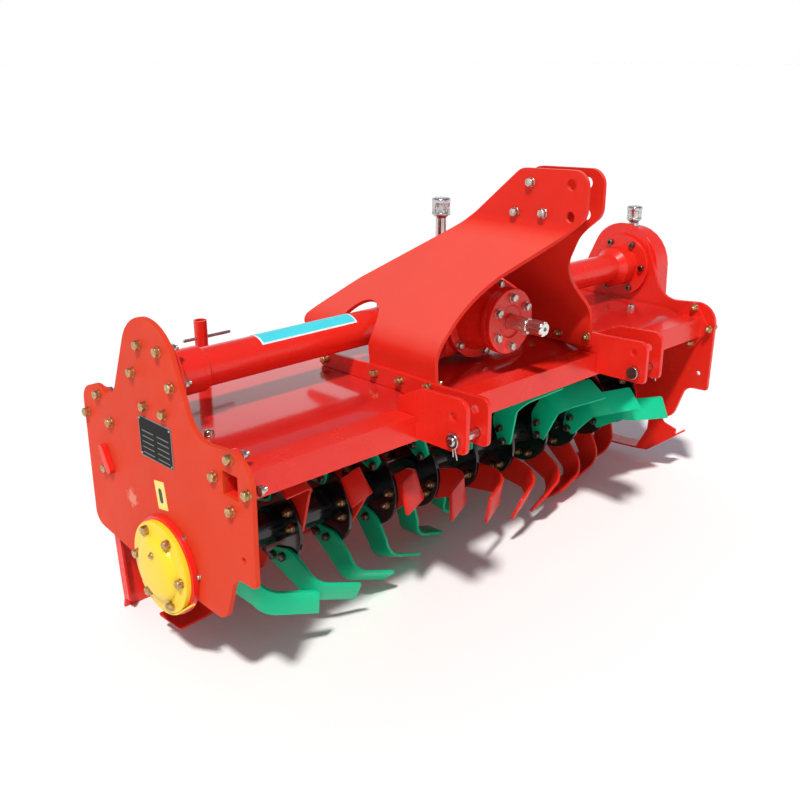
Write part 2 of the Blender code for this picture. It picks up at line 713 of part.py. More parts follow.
def tine_sections(side, angle, disc_x, reach):
    """Sections of one tine: side is the way its lip bends, angle the strip's direction."""
    half = TINE_WALL / 2
    start_x = -side * (DISC_WALL / 2 + half - TINE_SEAT)
    bend = math.radians(TINE_BEND_ANGLE)
    across = reach + DISC_WALL / 2 + half
    lip = (across - TINE_BEND_RADIUS * (1 - math.cos(bend))) / math.sin(bend)
    corner = TINE_TIP_ASIDE + TINE_TIP_WIDTH / 2
    tip_along = math.sqrt(TINE_RADIUS ** 2 - corner ** 2) - TINE_TIP_SLANT / 2 - half
    arm_end = tip_along - TINE_BEND_RADIUS * math.sin(bend) - lip * math.cos(bend)
    # along, across, turn, share of the way from the bend's start to the tip
    stations = []
    whole = TINE_BEND_RADIUS * bend + lip
    for share in (0.0, 0.33, 0.67, 1.0):
        turn = share * bend
        stations.append((arm_end + TINE_BEND_RADIUS * math.sin(turn),
                         TINE_BEND_RADIUS * (1 - math.cos(turn)), turn, TINE_BEND_RADIUS * turn / whole))
    last = stations[-1]
    for share in (0.5, 1.0):
        stations.append((last[0] + share * lip * math.cos(bend), last[1] + share * lip * math.sin(bend),
                         bend, (TINE_BEND_RADIUS * bend + share * lip) / whole))
    ahead = Vector((0.0, math.cos(angle), math.sin(angle)))
    aside = Vector((0.0, -math.sin(angle), math.cos(angle)))
    axial = Vector((side, 0.0, 0.0))
    origin = Vector((disc_x + start_x, 0.0, 0.0))
    sections = []
    for low_along, low_aside, high_along, high_aside in TINE_ARM:
        low = origin + ahead * low_along + aside * low_aside
        high = origin + ahead * high_along + aside * high_aside
        sections.append([high + axial * half, low + axial * half, low - axial * half, high - axial * half])
    for along, over, turn, share in stations:
        centre = TINE_BEND_ASIDE + (TINE_TIP_ASIDE - TINE_BEND_ASIDE) * share
        width = TINE_BEND_WIDTH + (TINE_TIP_WIDTH - TINE_BEND_WIDTH) * share
        slant = TINE_BEND_SLANT + (TINE_TIP_SLANT - TINE_BEND_SLANT) * share
        middle = origin + ahead * along + axial * over + aside * centre
        onward = ahead * math.cos(turn) + axial * math.sin(turn)
        normal = axial * math.cos(turn) - ahead * math.sin(turn)
        spread = aside * width / 2 + onward * slant / 2
        sections.append([middle + spread + normal * half, middle - spread + normal * half,
                         middle - spread - normal * half, middle + spread - normal * half])
    return sections


def make_rotor():
    """Tube with its end stubs and a row of discs, each with its tines."""
    stub_face = ROTOR_END_GAP + BEARING_HOUSING_WALL
    low = INNER_LEFT + stub_face + STUB_FLANGE_WALL + TOUCH
    high = INNER_RIGHT - stub_face - STUB_FLANGE_WALL - TOUCH
    for name, wall, side in (("rotor_stub_left", INNER_LEFT, 1), ("rotor_stub_right", INNER_RIGHT, -1)):
        face = wall + side * stub_face
        back = face + side * STUB_FLANGE_WALL
        profile = [(wall + side * ROTOR_END_GAP, 0.0), (wall + side * ROTOR_END_GAP, STUB_RADIUS),
                   (face, STUB_RADIUS), (face, STUB_FLANGE_RADIUS), (back, STUB_FLANGE_RADIUS), (back, 0.0)]
        make_object(name, turned(profile, "X", (0.0, 0.0), 24), BLACK, 0.2, pivot=(0.0, 0.0, 0.0))
    bore = ROTOR_TUBE_RADIUS - ROTOR_TUBE_WALL
    tube = [(low, bore), (low, ROTOR_TUBE_RADIUS), (high, ROTOR_TUBE_RADIUS), (high, bore)]
    make_object("rotor_tube", turned(tube, "X", (0.0, 0.0), 24), BLACK, 0.2, pivot=(0.0, 0.0, 0.0))
    inner = ROTOR_TUBE_RADIUS + TOUCH
    first = INNER_LEFT + DISC_LEFT_GAP
    pitch = (INNER_RIGHT - DISC_RIGHT_GAP - first) / (DISC_COUNT - 1)
    for index in range(DISC_COUNT):
        step = index - (DISC_COUNT - 1) // 2
        x = first + index * pitch
        disc = [(x - DISC_WALL / 2, inner), (x - DISC_WALL / 2, DISC_RADIUS),
                (x + DISC_WALL / 2, DISC_RADIUS), (x + DISC_WALL / 2, inner)]
        body = make_object("tine_disc_%02d" % (index + 1), turned(disc, "X", (0.0, 0.0), 28),
                           BLACK, 0.2, pivot=(0.0, 0.0, 0.0))
        combine(body, disc_tines(step, x))


def disc_tines(step, x):
    """The tines of one disc, without those whose lips would reach a side plate."""
    tines = []
    for side, turn, reach in TINE_KINDS:
        tip = x + side * reach
        if not INNER_LEFT + TINE_END_GAP < tip < INNER_RIGHT - TINE_END_GAP:
            continue
        for copy in range(TINES_PER_SIDE):
            angle = math.radians(TINE_PHASE + step * TINE_HELIX + turn + copy * 360.0 / TINES_PER_SIDE)
            tines.append(make_object("tine", lofted(tine_sections(side, angle, x, reach))))
    return tines


def make_bearing_housings():
    """Round housings inside the plates that carry the rotor's ends."""
    for name, low in (("bearing_housing_left", INNER_LEFT),
                      ("bearing_housing_right", INNER_RIGHT - BEARING_HOUSING_WALL)):
        high = low + BEARING_HOUSING_WALL
        bore = STUB_RADIUS + RUNNING_FIT
        profile = [(low, bore), (low, BEARING_HOUSING_RADIUS), (high, BEARING_HOUSING_RADIUS), (high, bore)]
        make_object(name, turned(profile, "X", (0.0, 0.0), 32))


# Hitch

HITCH_TIP_Y = LOWER_PIN_Y - 32.0
HITCH_BOTTOM_Z = LOWER_PIN_Z - 29.0
BEAM_FRONT_Y = BEAM_Y - BEAM_SIDE / 2 - TOUCH
BEAM_TOP_Z = BEAM_Z + BEAM_SIDE / 2 + TOUCH
LONG_PLATE_EDGE = (
    # y, z, corner radius
    (DECK_FOLD_Y - 62.0, BEAM_TOP_Z, 0.0),
    (DECK_FOLD_Y, DECK_Z + TOUCH, 0.0),
    (130.0, DECK_Z + TOUCH, 10.0),
    (112.0, DECK_Z + 39.0, 14.0),
    (DECK_FOLD_Y, DECK_Z + 46.0, 60.0),
    (-290.0, DECK_Z + 43.0, 30.0),
    (HITCH_TIP_Y, UPPER_HOLE_Z + 32.0, 22.0),
)
SHORT_PLATE_EDGE = (
    # y, z, corner radius
    (BEAM_Y + 25.0, BEAM_TOP_Z, 0.0),
    (BEAM_Y + 21.0, BEAM_TOP_Z + 34.0, 8.0),
    (BEAM_Y - 49.0, UPPER_HOLE_Z + 40.0, 30.0),
    (HITCH_TIP_Y, UPPER_HOLE_Z + 45.0, 26.0),
)


def hitch_plate(name, x_low, upper_edge):
    """One hitch plate hooked over the beam; the long ones run back to carry the mast."""
    corners = [(HITCH_TIP_Y, HITCH_BOTTOM_Z, 14.0), (BEAM_FRONT_Y, HITCH_BOTTOM_Z, 0.0),
               (BEAM_FRONT_Y, BEAM_TOP_Z, 0.0)]
    corners += upper_edge
    loops = [
        filleted(corners, 5),
        circle(LOWER_PIN_Y, LOWER_PIN_Z, HITCH_PIN_RADIUS + TOUCH, 20),
        circle(UPPER_HOLE_Y, UPPER_HOLE_Z, HITCH_HOLE_RADIUS, 20),
    ]
    return make_object(name, extruded(loops, "X", x_low, x_low + HITCH_PLATE_WALL))


def make_hitch():
    """Two clevises with their pins; the inner plate of each is the long one."""
    wall = HITCH_PLATE_WALL
    outer_face = HITCH_HALF_SPAN + CLEVIS_HALF
    inner_face = HITCH_HALF_SPAN - CLEVIS_HALF
    hitch_plate("hitch_plate_left_outer", -outer_face, SHORT_PLATE_EDGE)
    hitch_plate("hitch_plate_left_inner", -inner_face - wall, LONG_PLATE_EDGE)
    hitch_plate("hitch_plate_right_inner", inner_face, LONG_PLATE_EDGE)
    hitch_plate("hitch_plate_right_outer", outer_face - wall, SHORT_PLATE_EDGE)
    for name, side in (("hitch_pin_left", -1), ("hitch_pin_right", 1)):
        head = side * (inner_face - HITCH_PIN_PLAY)
        near = head - side * HITCH_PIN_HEAD
        far = side * (outer_face + HITCH_PIN_TAIL)
        profile = [(near, 0.0), (near, HITCH_PIN_HEAD_RADIUS), (head, HITCH_PIN_HEAD_RADIUS),
                   (head, HITCH_PIN_RADIUS), (far - side * 3, HITCH_PIN_RADIUS),
                   (far, HITCH_PIN_RADIUS - 3), (far, 0.0)]
        make_object(name, turned(profile, "X", (LOWER_PIN_Y, LOWER_PIN_Z), 20), CHROME, 0.2, 1.0)


# Mast

WING_FOOT_X = HITCH_HALF_SPAN - CLEVIS_HALF - TOUCH - MAST_WALL / 2
WING_EAR_X = EAR_HALF_GAP + MAST_WALL / 2

MAST_OUTLINE = (
    # y, z, corner radius
    (-272.0, 806.0, 26.0),
    (EXTENT_FRONT, 812.0, 24.0),
    (EXTENT_FRONT, 712.0, 30.0),
    (-386.0, 650.0, 60.0),
    (-290.0, 562.0, 60.0),
    (-258.0, 500.0, 60.0),
    (-266.0, 312.0, 6.0),
    (-49.0, 312.0, 6.0),
)
MAST_TAIL = (
    # y, z, corner radius
    (100.0, 396.0, 6.0),
    (200.0, 398.0, 10.0),
    (216.0, 412.0, 16.0),
    (108.0, 512.0, 200.0),
    (-99.0, 660.0, 60.0),
)


def mast_x(z):
    """Distance of the plate's middle from the centreline at a height."""
    if z >= EAR_BEND_Z:
        return WING_EAR_X
    if z <= FOOT_BEND_Z:
        return WING_FOOT_X
    share = (EAR_BEND_Z - z) / (EAR_BEND_Z - FOOT_BEND_Z)
    return WING_EAR_X + share * (WING_FOOT_X - WING_EAR_X)


def make_mast():
    """Two bent plates, each arched over the cross tube."""
    arch = []
    radius = TUBE_RADIUS + ARCH_CLEARANCE
    for step in range(9):
        angle = math.radians(200.0 - step * 220.0 / 8)
        arch.append((HUMP_Y + radius * math.cos(angle), HUMP_Z + radius * math.sin(angle)))
    corners = list(MAST_OUTLINE) + [(a, b, 0.0) for a, b in arch] + list(MAST_TAIL)
    outline = filleted(corners, 5)
    for name, side in (("mast_left", -1), ("mast_right", 1)):
        loops = [outline] + [circle(TOP_HOLE_Y, z, TOP_HOLE_RADIUS, 20) for z in TOP_HOLE_Z]
        bm = sheet_mesh(loops, lambda a, b: (0.0, a, b))
        for height in (EAR_BEND_Z, FOOT_BEND_Z):
            bmesh.ops.bisect_plane(bm, geom=bm.verts[:] + bm.edges[:] + bm.faces[:],
                                   plane_co=(0, 0, height), plane_no=(0, 0, 1))
        for vertex in bm.verts:
            vertex.co.x = side * mast_x(vertex.co.z)
        plate = make_object(name, bm)
        solid = plate.modifiers.new("Plate", "SOLIDIFY")
        solid.thickness = MAST_WALL * MM
        solid.offset = 0.0
        solid.use_even_offset = True


# Hood and trailing board

def strip_mesh(points, wall, x_low, x_high):
    """A sheet bent along X: the (y, z) line of its outer face, given a wall inwards."""
    outer = [Vector(point) for point in points]
    inner = []
    for i, point in enumerate(outer):
        before = (point - outer[i - 1]).normalized() if i else None
        after = (outer[i + 1] - point).normalized() if i + 1 < len(outer) else None
        directions = [d for d in (before, after) if d is not None]
        normals = [Vector((d.y, -d.x)) for d in directions]
        middle = sum(normals, Vector((0.0, 0.0))).normalized()
        inner.append(point + middle * wall / max(0.3, middle.dot(normals[0])))
    loop = [tuple(p) for p in outer] + [tuple(p) for p in reversed(inner)]
    return extruded([loop], "X", x_low, x_high)


HOOD_BACK = (
    # y, z down to the rear tube
    (REAR_TUBE_Y - 49.0, DECK_Z - 16.0),
    (REAR_TUBE_Y - 33.0, DECK_Z - 46.0),
    (REAR_TUBE_Y - 27.0, DECK_Z - 84.0),
)


def make_hood():
    """Deck over the rotor: folded at the front, bent down behind to the rear tube."""
    low, high = INNER_LEFT + HOOD_END_GAP, INNER_RIGHT - HOOD_END_GAP
    beam_back = BEAM_Y + BEAM_SIDE / 2 + TOUCH
    line = [(beam_back, DECK_FRONT_Z - DECK_LIP), (beam_back, DECK_FRONT_Z), (DECK_FOLD_Y, DECK_Z),
            (DECK_REAR_FOLD_Y, DECK_Z)]
    line += HOOD_BACK
    make_object("hood", strip_mesh(line, DECK_WALL, low, high))


BOARD_LINE = (
    # y, z of the board's back face from its hinge down to the lip on the floor
    (BOARD_HINGE_Y + BARREL_RADIUS + 3.0, BOARD_HINGE_Z - LUG_RADIUS - 10.0),
    (303.0, 130.0),
    (309.0, 40.0),
    (306.0, -60.0),
    (298.0, 100.0 - TINE_RADIUS),
    (290.0, 28.0 - TINE_RADIUS),
    (298.0, BOARD_LIP_RISE - TINE_RADIUS),
)


def lug_outline():
    """Outline of a hinge lug: round at the pin, rooted in the rear tube's wall."""
    axis = math.atan2(BOARD_HINGE_Z - REAR_TUBE_Z, BOARD_HINGE_Y - REAR_TUBE_Y)
    root = REAR_TUBE_RADIUS - REAR_TUBE_WALL / 2
    points = []
    for step in range(-2, 3):
        angle = axis - step * math.radians(24)
        points.append((REAR_TUBE_Y + root * math.cos(angle), REAR_TUBE_Z + root * math.sin(angle)))
    for step in range(-4, 5):
        angle = axis + step * math.radians(20)
        points.append((BOARD_HINGE_Y + LUG_RADIUS * math.cos(angle), BOARD_HINGE_Z + LUG_RADIUS * math.sin(angle)))
    return points


def make_hinge_lugs(tube):
    """Lugs under the rear tube, two to a hinge, with the pin between them."""
    added = []
    reach = BARREL_LENGTH / 2 + BARREL_END_GAP
    for x in HINGE_X:
        for low in (x - reach - LUG_WALL, x + reach):
            added.append(make_object("lug", extruded([lug_outline()], "X", low, low + LUG_WALL)))
        ends = (x - reach - 2, x + reach + 2)
        pin = [(ends[0], 0.0), (ends[0], HINGE_PIN_RADIUS), (ends[1], HINGE_PIN_RADIUS), (ends[1], 0.0)]
        added.append(make_object("pin", turned(pin, "X", (BOARD_HINGE_Y, BOARD_HINGE_Z), 16)))
    combine(tube, added)


def make_trailing_board():
    """Bent sheet with end plates, ribs and hinge barrels."""
    low = INNER_LEFT + BOARD_END_GAP
    high = INNER_RIGHT - BOARD_END_GAP
    pivot = (0.0, BOARD_HINGE_Y, BOARD_HINGE_Z)
    line = BOARD_LINE
    board = make_object("trailing_board", strip_mesh(line, BOARD_WALL, low, high), pivot=pivot)
    added = []
    strap = [(BOARD_HINGE_Y + BARREL_RADIUS + 1, BOARD_HINGE_Z - 2), (line[0][0] - 0.5, line[0][1] - 12)]
    for x in HINGE_X:
        ends = (x - BARREL_LENGTH / 2, x + BARREL_LENGTH / 2)
        added.append(make_object("strap", strip_mesh(strap, BOARD_WALL, *ends)))
    for start in (low - 1, high + 1 - BOARD_RIB_WALL):
        inset = [(y - 1.5, z) for y, z in line[1:-1]]
        end = strip_mesh(inset, BOARD_END_DEPTH, start, start + BOARD_RIB_WALL)
        added.append(make_object("end", end))
    for low_z, high_z in BOARD_BARS:
        face = BOARD_LINE_FACE
        bar = [(face, low_z), (face + BOARD_BAR_DEPTH, low_z), (face + BOARD_BAR_DEPTH, high_z), (face, high_z)]
        added.append(make_object("bar", extruded([bar], "X", low + BOARD_BAR_INSET, high - BOARD_BAR_INSET)))
    for x in BOARD_RIB_X:
        inset = [(y - 2, z) for y, z in line[1:-1]]
        rib = strip_mesh(inset, -BOARD_RIB_DEPTH, x - BOARD_RIB_WALL / 2, x + BOARD_RIB_WALL / 2)
        added.append(make_object("rib", rib))
    bore = HINGE_PIN_RADIUS + HINGE_PIN_CLEARANCE
    for x in HINGE_X:
        ends = (x - BARREL_LENGTH / 2, x + BARREL_LENGTH / 2)
        barrel = [(ends[0], bore), (ends[0], BARREL_RADIUS), (ends[1], BARREL_RADIUS), (ends[1], bore)]
        added.append(make_object("barrel", turned(barrel, "X", (BOARD_HINGE_Y, BOARD_HINGE_Z), 20)))
    combine(board, added)


def make_sleeve():
    """Upright tube saddled on the rear tube, and the pin through it."""
    bore = SLEEVE_RADIUS - SLEEVE_WALL
    profile = [(REAR_TUBE_Z, bore), (REAR_TUBE_Z, SLEEVE_RADIUS), (SLEEVE_TOP_Z, SLEEVE_RADIUS), (SLEEVE_TOP_Z, bore)]
    sleeve = make_object("board_sleeve", turned(profile, "Z", (SLEEVE_X, REAR_TUBE_Y), 20))
    reach = REAR_TUBE_RADIUS + TOUCH
    ends = (SLEEVE_X - 2 * SLEEVE_RADIUS, SLEEVE_X + 2 * SLEEVE_RADIUS)
    saddle = [(ends[0], 0.0), (ends[0], reach), (ends[1], reach), (ends[1], 0.0)]
    below = make_object("cut", turned(saddle, "X", (REAR_TUBE_Y, REAR_TUBE_Z), 24))
    pin_bore = SLEEVE_PIN_RADIUS + TOUCH
    hole = [(ends[0], 0.0), (ends[0], pin_bore), (ends[1], pin_bore), (ends[1], 0.0)]
    across = make_object("cut", turned(hole, "X", (REAR_TUBE_Y, SLEEVE_PIN_Z), 12))
    combine(sleeve, [below, across], "DIFFERENCE")
    low, high = SLEEVE_PIN_X
    pin = [(low, 0.0), (low, SLEEVE_PIN_RADIUS), (high, SLEEVE_PIN_RADIUS), (high, 0.0)]
    make_object("board_sleeve_pin", turned(pin, "X", (REAR_TUBE_Y, SLEEVE_PIN_Z), 12), CHROME, 0.2, 1.0)


def main():
    for obj in list(bpy.context.scene.objects):
        bpy.data.objects.remove(obj)
    make_side_plates()
    make_front_beam()
    make_rear_tube()
    make_cross_tubes()
    make_gearbox()
    make_pto_shaft()
    lid_top = GEARBOX_TOP_Z + TOUCH + LID_WALL
    make_breather("gearbox_breather", BREATHER_X, HUMP_Y, lid_top + TOUCH, GEARBOX_BREATHER_RISE)
    case_top = HUMP_Z + CASE_TOP_RADIUS
    case_x = PLATE_RIGHT_X + PLATE_WALL + TOUCH + CASE_DEPTH / 2
    make_breather("case_breather", case_x, HUMP_Y, case_top + TOUCH, CASE_BREATHER_RISE)
    make_chain_case()
    make_bearing_cover()
    make_plate_lug()
    make_skid()
    make_rotor()
    make_bearing_housings()
    make_hitch()
    make_mast()
    make_hood()
    make_trailing_board()
    make_sleeve()


main()
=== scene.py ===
"""Finishes for a rotary tiller: paint, plating, fasteners, tines, labels and the studio.

Lengths are metres. A place on the machine is given in its drawing frame, in millimetres,
with the origin on the rotor's axis halfway between the hitch arms, +X along the rotor to
the chain case, -Y to the tractor and +Z up. place() turns it into the frame's metres.
"""
import math

import bmesh
import bpy
from bpy.props import FloatProperty, FloatVectorProperty, IntProperty, PointerProperty
from mathutils import Matrix, Vector


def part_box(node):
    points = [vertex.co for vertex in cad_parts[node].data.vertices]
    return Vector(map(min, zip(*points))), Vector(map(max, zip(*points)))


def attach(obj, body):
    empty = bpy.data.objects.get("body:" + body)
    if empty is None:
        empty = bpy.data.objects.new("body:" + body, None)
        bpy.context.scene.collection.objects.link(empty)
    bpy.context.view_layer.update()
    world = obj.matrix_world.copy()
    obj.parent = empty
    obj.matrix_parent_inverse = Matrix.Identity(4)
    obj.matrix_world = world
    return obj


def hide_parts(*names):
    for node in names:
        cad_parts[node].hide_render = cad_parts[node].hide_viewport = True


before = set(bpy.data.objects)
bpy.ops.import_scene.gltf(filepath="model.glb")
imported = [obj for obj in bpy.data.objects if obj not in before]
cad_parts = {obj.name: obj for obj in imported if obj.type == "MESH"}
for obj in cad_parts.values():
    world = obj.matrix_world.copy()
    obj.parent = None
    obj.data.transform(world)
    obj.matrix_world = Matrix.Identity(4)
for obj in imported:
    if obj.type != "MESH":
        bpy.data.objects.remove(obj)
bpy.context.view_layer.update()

bl_info = {
    "name": "Rotary Tiller Finish",
    "version": (1, 1, 0),
    "blender": (4, 5, 0),
    "location": "View3D > Sidebar > Tiller",
    "description": "Adds finishes, fasteners, tines and a studio to a packed rotary tiller",
    "category": "Object",
}

MM = 0.001

# The rotor's axis and the hitch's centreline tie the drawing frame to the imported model
PTO_LOW, PTO_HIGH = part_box("pto_shaft")
TUBE_LOW, TUBE_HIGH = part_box("rotor_tube")
CENTRE_X = (PTO_LOW.x + PTO_HIGH.x) / 2
ROTOR_Y = (TUBE_LOW.y + TUBE_HIGH.y) / 2
ROTOR_Z = (TUBE_LOW.z + TUBE_HIGH.z) / 2


def place(x, y, z):
    """Turn a drawing point in mm into a point of the frame in metres."""
    return Vector((CENTRE_X + x * MM, ROTOR_Y + y * MM, ROTOR_Z + z * MM))


# The cross tubes' axis, as y and z, and the outside faces of the side plates, as x
TUBE_AXIS = (18.0, 416.0)
LEFT_FACE = -852.0
RIGHT_FACE = 870.0


# Settings

def colour(name, description, default):
    """A colour setting."""
    return FloatVectorProperty(name=name, description=description, subtype="COLOR", size=3,
                               min=0.0, max=1.0, default=default)


class TillerPaint(bpy.types.PropertyGroup):
    red: colour("Red paint", "Colour of the frame, plates and mast", (0.74, 0.018, 0.009))
    green: colour("Green paint", "Colour of the tines that bend to the right", (0.003, 0.52, 0.25))
    yellow: colour("Yellow paint", "Colour of the rotor's bearing cover", (0.86, 0.58, 0.02))
    black: colour("Black paint", "Colour of the rotor tube and its discs", (0.006, 0.006, 0.007))
    band: colour("Band colour", "Colour of the bare band on the left cross tube", (0.06, 0.66, 0.74))
    gloss: FloatProperty(
        name="Paint roughness", description="Roughness of the red paint",
        subtype="FACTOR", min=0.0, max=1.0, default=0.26)


class TillerParts(bpy.types.PropertyGroup):
    bolt_radius: FloatProperty(
        name="Bolt head radius", description="Radius over the corners of a bolt's head",
        subtype="DISTANCE", unit="LENGTH", min=0.004, default=0.0105)
    bend_rows: IntProperty(
        name="Tine bend rows", description="Rows of faces round the bend of a tine",
        min=3, max=24, default=10)
    disc_sides: IntProperty(
        name="Disc sides", description="Sides of a turned disc", min=24, max=128, default=72)


class TillerStudio(bpy.types.PropertyGroup):
    azimuth: FloatProperty(
        name="Camera azimuth", description="Direction of the camera, 0 looks along +Y",
        subtype="ANGLE", unit="ROTATION", default=math.radians(-44.09))
    elevation: FloatProperty(
        name="Camera elevation", description="Height of the camera above the horizon",
        subtype="ANGLE", unit="ROTATION", default=math.radians(19.46))
    lens: FloatProperty(
        name="Lens", description="Focal length of the camera",
        subtype="DISTANCE_CAMERA", min=10.0, default=43.58)
    camera_at: FloatVectorProperty(
        name="Camera place", description="Place of the camera in the drawing frame",
        subtype="TRANSLATION", unit="LENGTH", size=3, default=(-1.7976, -1.6956, 1.0406))
    floor_size: FloatProperty(
        name="Floor size", description="Side of the square floor",
        subtype="DISTANCE", unit="LENGTH", min=4.0, default=400.0)


def paint():
    return bpy.context.scene.tiller_paint


def parts():
    return bpy.context.scene.tiller_parts


def studio():
    return bpy.context.scene.tiller_studio


# Materials

class Graph:
    """A node tree with short ways to add nodes to it."""

    def __init__(self, tree):
        self.nodes, self.links = tree.nodes, tree.links
        self.coordinates = self.nodes.new("ShaderNodeTexCoord").outputs

    def put(self, socket, value):
        """Set a socket to a value, or link another node's output to it."""
        if isinstance(value, bpy.types.NodeSocket):
            self.links.new(value, socket)
        else:
            socket.default_value = value

    def add(self, kind, output, inputs, **settings):
        """Add a node with its settings and inputs, and give back one of its outputs."""
        node = self.nodes.new("ShaderNode" + kind)
        for name, value in settings.items():
            setattr(node, name, value)
        for name, value in inputs.items():
            self.put(node.inputs[name], value)
        return node.outputs[output]

    def axes(self, kind):
        """X, Y and Z of one kind of coordinates."""
        node = self.nodes.new("ShaderNodeSeparateXYZ")
        self.links.new(self.coordinates[kind], node.inputs["Vector"])
        return node.outputs

    def noise(self, scale, detail=3.0, roughness=0.5):
        """A noise texture on the object's own coordinates."""
        return self.add("TexNoise", "Fac", {"Scale": scale, "Detail": detail, "Roughness": roughness,
                                            "Vector": self.coordinates["Object"]})

    def ramp(self, source, stops):
        """A colour ramp over (position, colour) stops."""
        node = self.nodes.new("ShaderNodeValToRGB")
        elements = node.color_ramp.elements
        while len(elements) < len(stops):
            elements.new(0.5)
        for element, (position, color) in zip(elements, stops):
            element.position = position
            element.color = (*color, 1.0)
        self.links.new(source, node.inputs["Fac"])
        return node.outputs["Color"]

    def ranged(self, source, low, high, start=0.0, end=1.0):
        """Map the range start to end onto low to high."""
        return self.add("MapRange", "Result", {"Value": source, "From Min": start, "From Max": end,
                                               "To Min": low, "To Max": high})

    def math(self, operation, *values):
        """A math node; a value is a number or another node's output."""
        return self.add("Math", "Value", dict(enumerate(values)), operation=operation)

    def mix(self, factor, base, color):
        """Mix a fixed colour over a base by a factor."""
        return self.add("Mix", "Result", {"Factor": factor, "A": base, "B": (*color, 1.0)},
                        data_type="RGBA")


class Finish(Graph):
    """The graph of a new material."""

    def __init__(self, name):
        self.material = bpy.data.materials.new(name)
        self.material.use_nodes = True
        super().__init__(self.material.node_tree)

    def shade(self, inputs):
        """Set or link the shader's own sockets and give back the material."""
        for name, value in inputs.items():
            self.put(self.nodes["Principled BSDF"].inputs[name], value)
        return self.material


def scaled(color, factor):
    return tuple(min(1.0, channel * factor) for channel in color)


def rubbed(look, centre, radius):
    """How far the paint is rubbed at a point: 1 in the middle of the patch, 0 outside it."""
    away = look.add("VectorMath", "Value", {0: look.coordinates["Object"], 1: centre}, operation="DISTANCE")
    near = look.ranged(away, 0.55, -0.35, 0.0, radius)
    total = look.math("ADD", near, look.noise(95.0, 6.0, 0.7))
    return look.ranged(total, 0.0, 0.85, 0.72, 0.84)


GRIME = (0.50, 0.16, 0.12)
# Pale colour mixed onto faces that look up: dust, and a painted sheen of the sky
DUST_AND_SHEEN = (0.80, 0.36, 0.27)
PEEL_DEPTH = 0.0006


def painted(name, color, roughness, coat=0.12, spread=0.05, peel=0.03, grime=0.0, worn=(), shine=0.32,
            dust_and_sheen=0.0):
    """Sprayed paint: a drift of tone, orange peel, a grimy film, rubbed patches, and dust with a painted sky
    sheen on faces that look up.
    """
    look = Finish(name)
    stops = [(0.3, scaled(color, 1 - spread)), (0.7, scaled(color, 1 + spread))]
    base = look.ramp(look.noise(3.5, 4.0), stops)
    if grime > 0:
        film = look.ranged(look.noise(16.0, 8.0, 0.66), 0.0, grime, 0.42, 0.78)
        base = look.mix(film, base, GRIME)
    # Faces that look up turn paler: dust, and a painted sheen standing in for the sky's reflection
    if dust_and_sheen > 0:
        upward = look.add("Attribute", "Fac", {}, attribute_name="upward")
        base = look.mix(look.ranged(upward, 0.0, dust_and_sheen, 0.30, 1.0), base, DUST_AND_SHEEN)
    for centre, radius, tone in worn:
        base = look.mix(rubbed(look, centre, radius), base, tone)
    rough = look.ranged(look.noise(9.0, 5.0, 0.6), roughness * 0.7, roughness * 1.35)
    skin = look.noise(260.0, 2.0)
    bump = look.add("Bump", "Normal", {"Strength": peel, "Distance": PEEL_DEPTH, "Height": skin})
    return look.shade({"Base Color": base, "Roughness": rough, "Normal": bump, "Specular IOR Level": shine,
                       "Coat Weight": coat, "Coat Roughness": 0.07})


def plated(name, dark, light, roughness, grain=140.0):
    """Bright plating whose tone drifts between two colours."""
    look = Finish(name)
    tone = look.ramp(look.noise(grain, 4.0), [(0.35, dark), (0.65, light)])
    rough = look.ranged(look.noise(grain * 3, 3.0), roughness * 0.7, roughness * 1.4)
    return look.shade({"Base Color": tone, "Roughness": rough, "Metallic": 1.0})


def printed(name, color, roughness=0.4):
    """Printed vinyl: an even colour and gloss with a faint grain."""
    look = Finish(name)
    grain = look.noise(45.0, 5.0, 0.6)
    tone = look.ramp(grain, [(0.3, scaled(color, 0.93)), (0.7, scaled(color, 1.04))])
    return look.shade({"Base Color": tone, "Roughness": look.ranged(grain, roughness * 0.8, roughness * 1.3)})


# The data plate's frame line, its rows and the blank margins round them, in metres;
# ROW_SHARE is the part of each row's pitch that its line takes
FRAME_LINE = 0.0022
ROW_PITCH = 0.0125
ROW_SHARE = 0.18
SIDE_MARGIN = 0.012
MIDDLE_MARGIN = 0.007
TOP_MARGIN = 0.026
LOW_MARGIN = 0.006


def ruled_plate(name, centre, half_width, half_height):
    """Dark plate with a pale frame line and two columns of blank ruled rows."""
    look = Finish(name)
    axes = look.axes("Object")
    across = look.math("ABSOLUTE", look.math("SUBTRACT", axes["Y"], centre.y))
    up = look.math("SUBTRACT", axes["Z"], centre.z)
    side_line = look.math("GREATER_THAN", across, half_width - FRAME_LINE)
    top_line = look.math("GREATER_THAN", look.math("ABSOLUTE", up), half_height - FRAME_LINE)
    row = look.math("FRACT", look.math("MULTIPLY", up, 1 / ROW_PITCH))
    rows = look.math("LESS_THAN", row, ROW_SHARE)
    for test, place_in, limit in (("LESS_THAN", across, half_width - SIDE_MARGIN),
                                  ("GREATER_THAN", across, MIDDLE_MARGIN),
                                  ("LESS_THAN", up, half_height - TOP_MARGIN),
                                  ("GREATER_THAN", up, LOW_MARGIN - half_height)):
        rows = look.math("MULTIPLY", rows, look.math(test, place_in, limit))
    lines = look.math("MAXIMUM", look.math("MAXIMUM", side_line, top_line), rows)
    grain = look.noise(80.0, 4.0)
    dark = look.ramp(grain, [(0.3, (0.006,) * 3), (0.7, (0.010,) * 3)])
    tone = look.mix(lines, dark, (0.20, 0.20, 0.19))
    return look.shade({"Base Color": tone, "Roughness": look.ranged(grain, 0.45, 0.60),
                       "Specular IOR Level": 0.12})


def floor_finish():
    """Pale matt floor with the faintest mottling."""
    look = Finish("studio_floor")
    tone = look.ramp(look.noise(0.8), [(0.3, (0.925, 0.915, 0.90)), (0.7, (0.94, 0.93, 0.915))])
    return look.shade({"Base Color": tone, "Roughness": 0.9, "Specular IOR Level": 0.1})


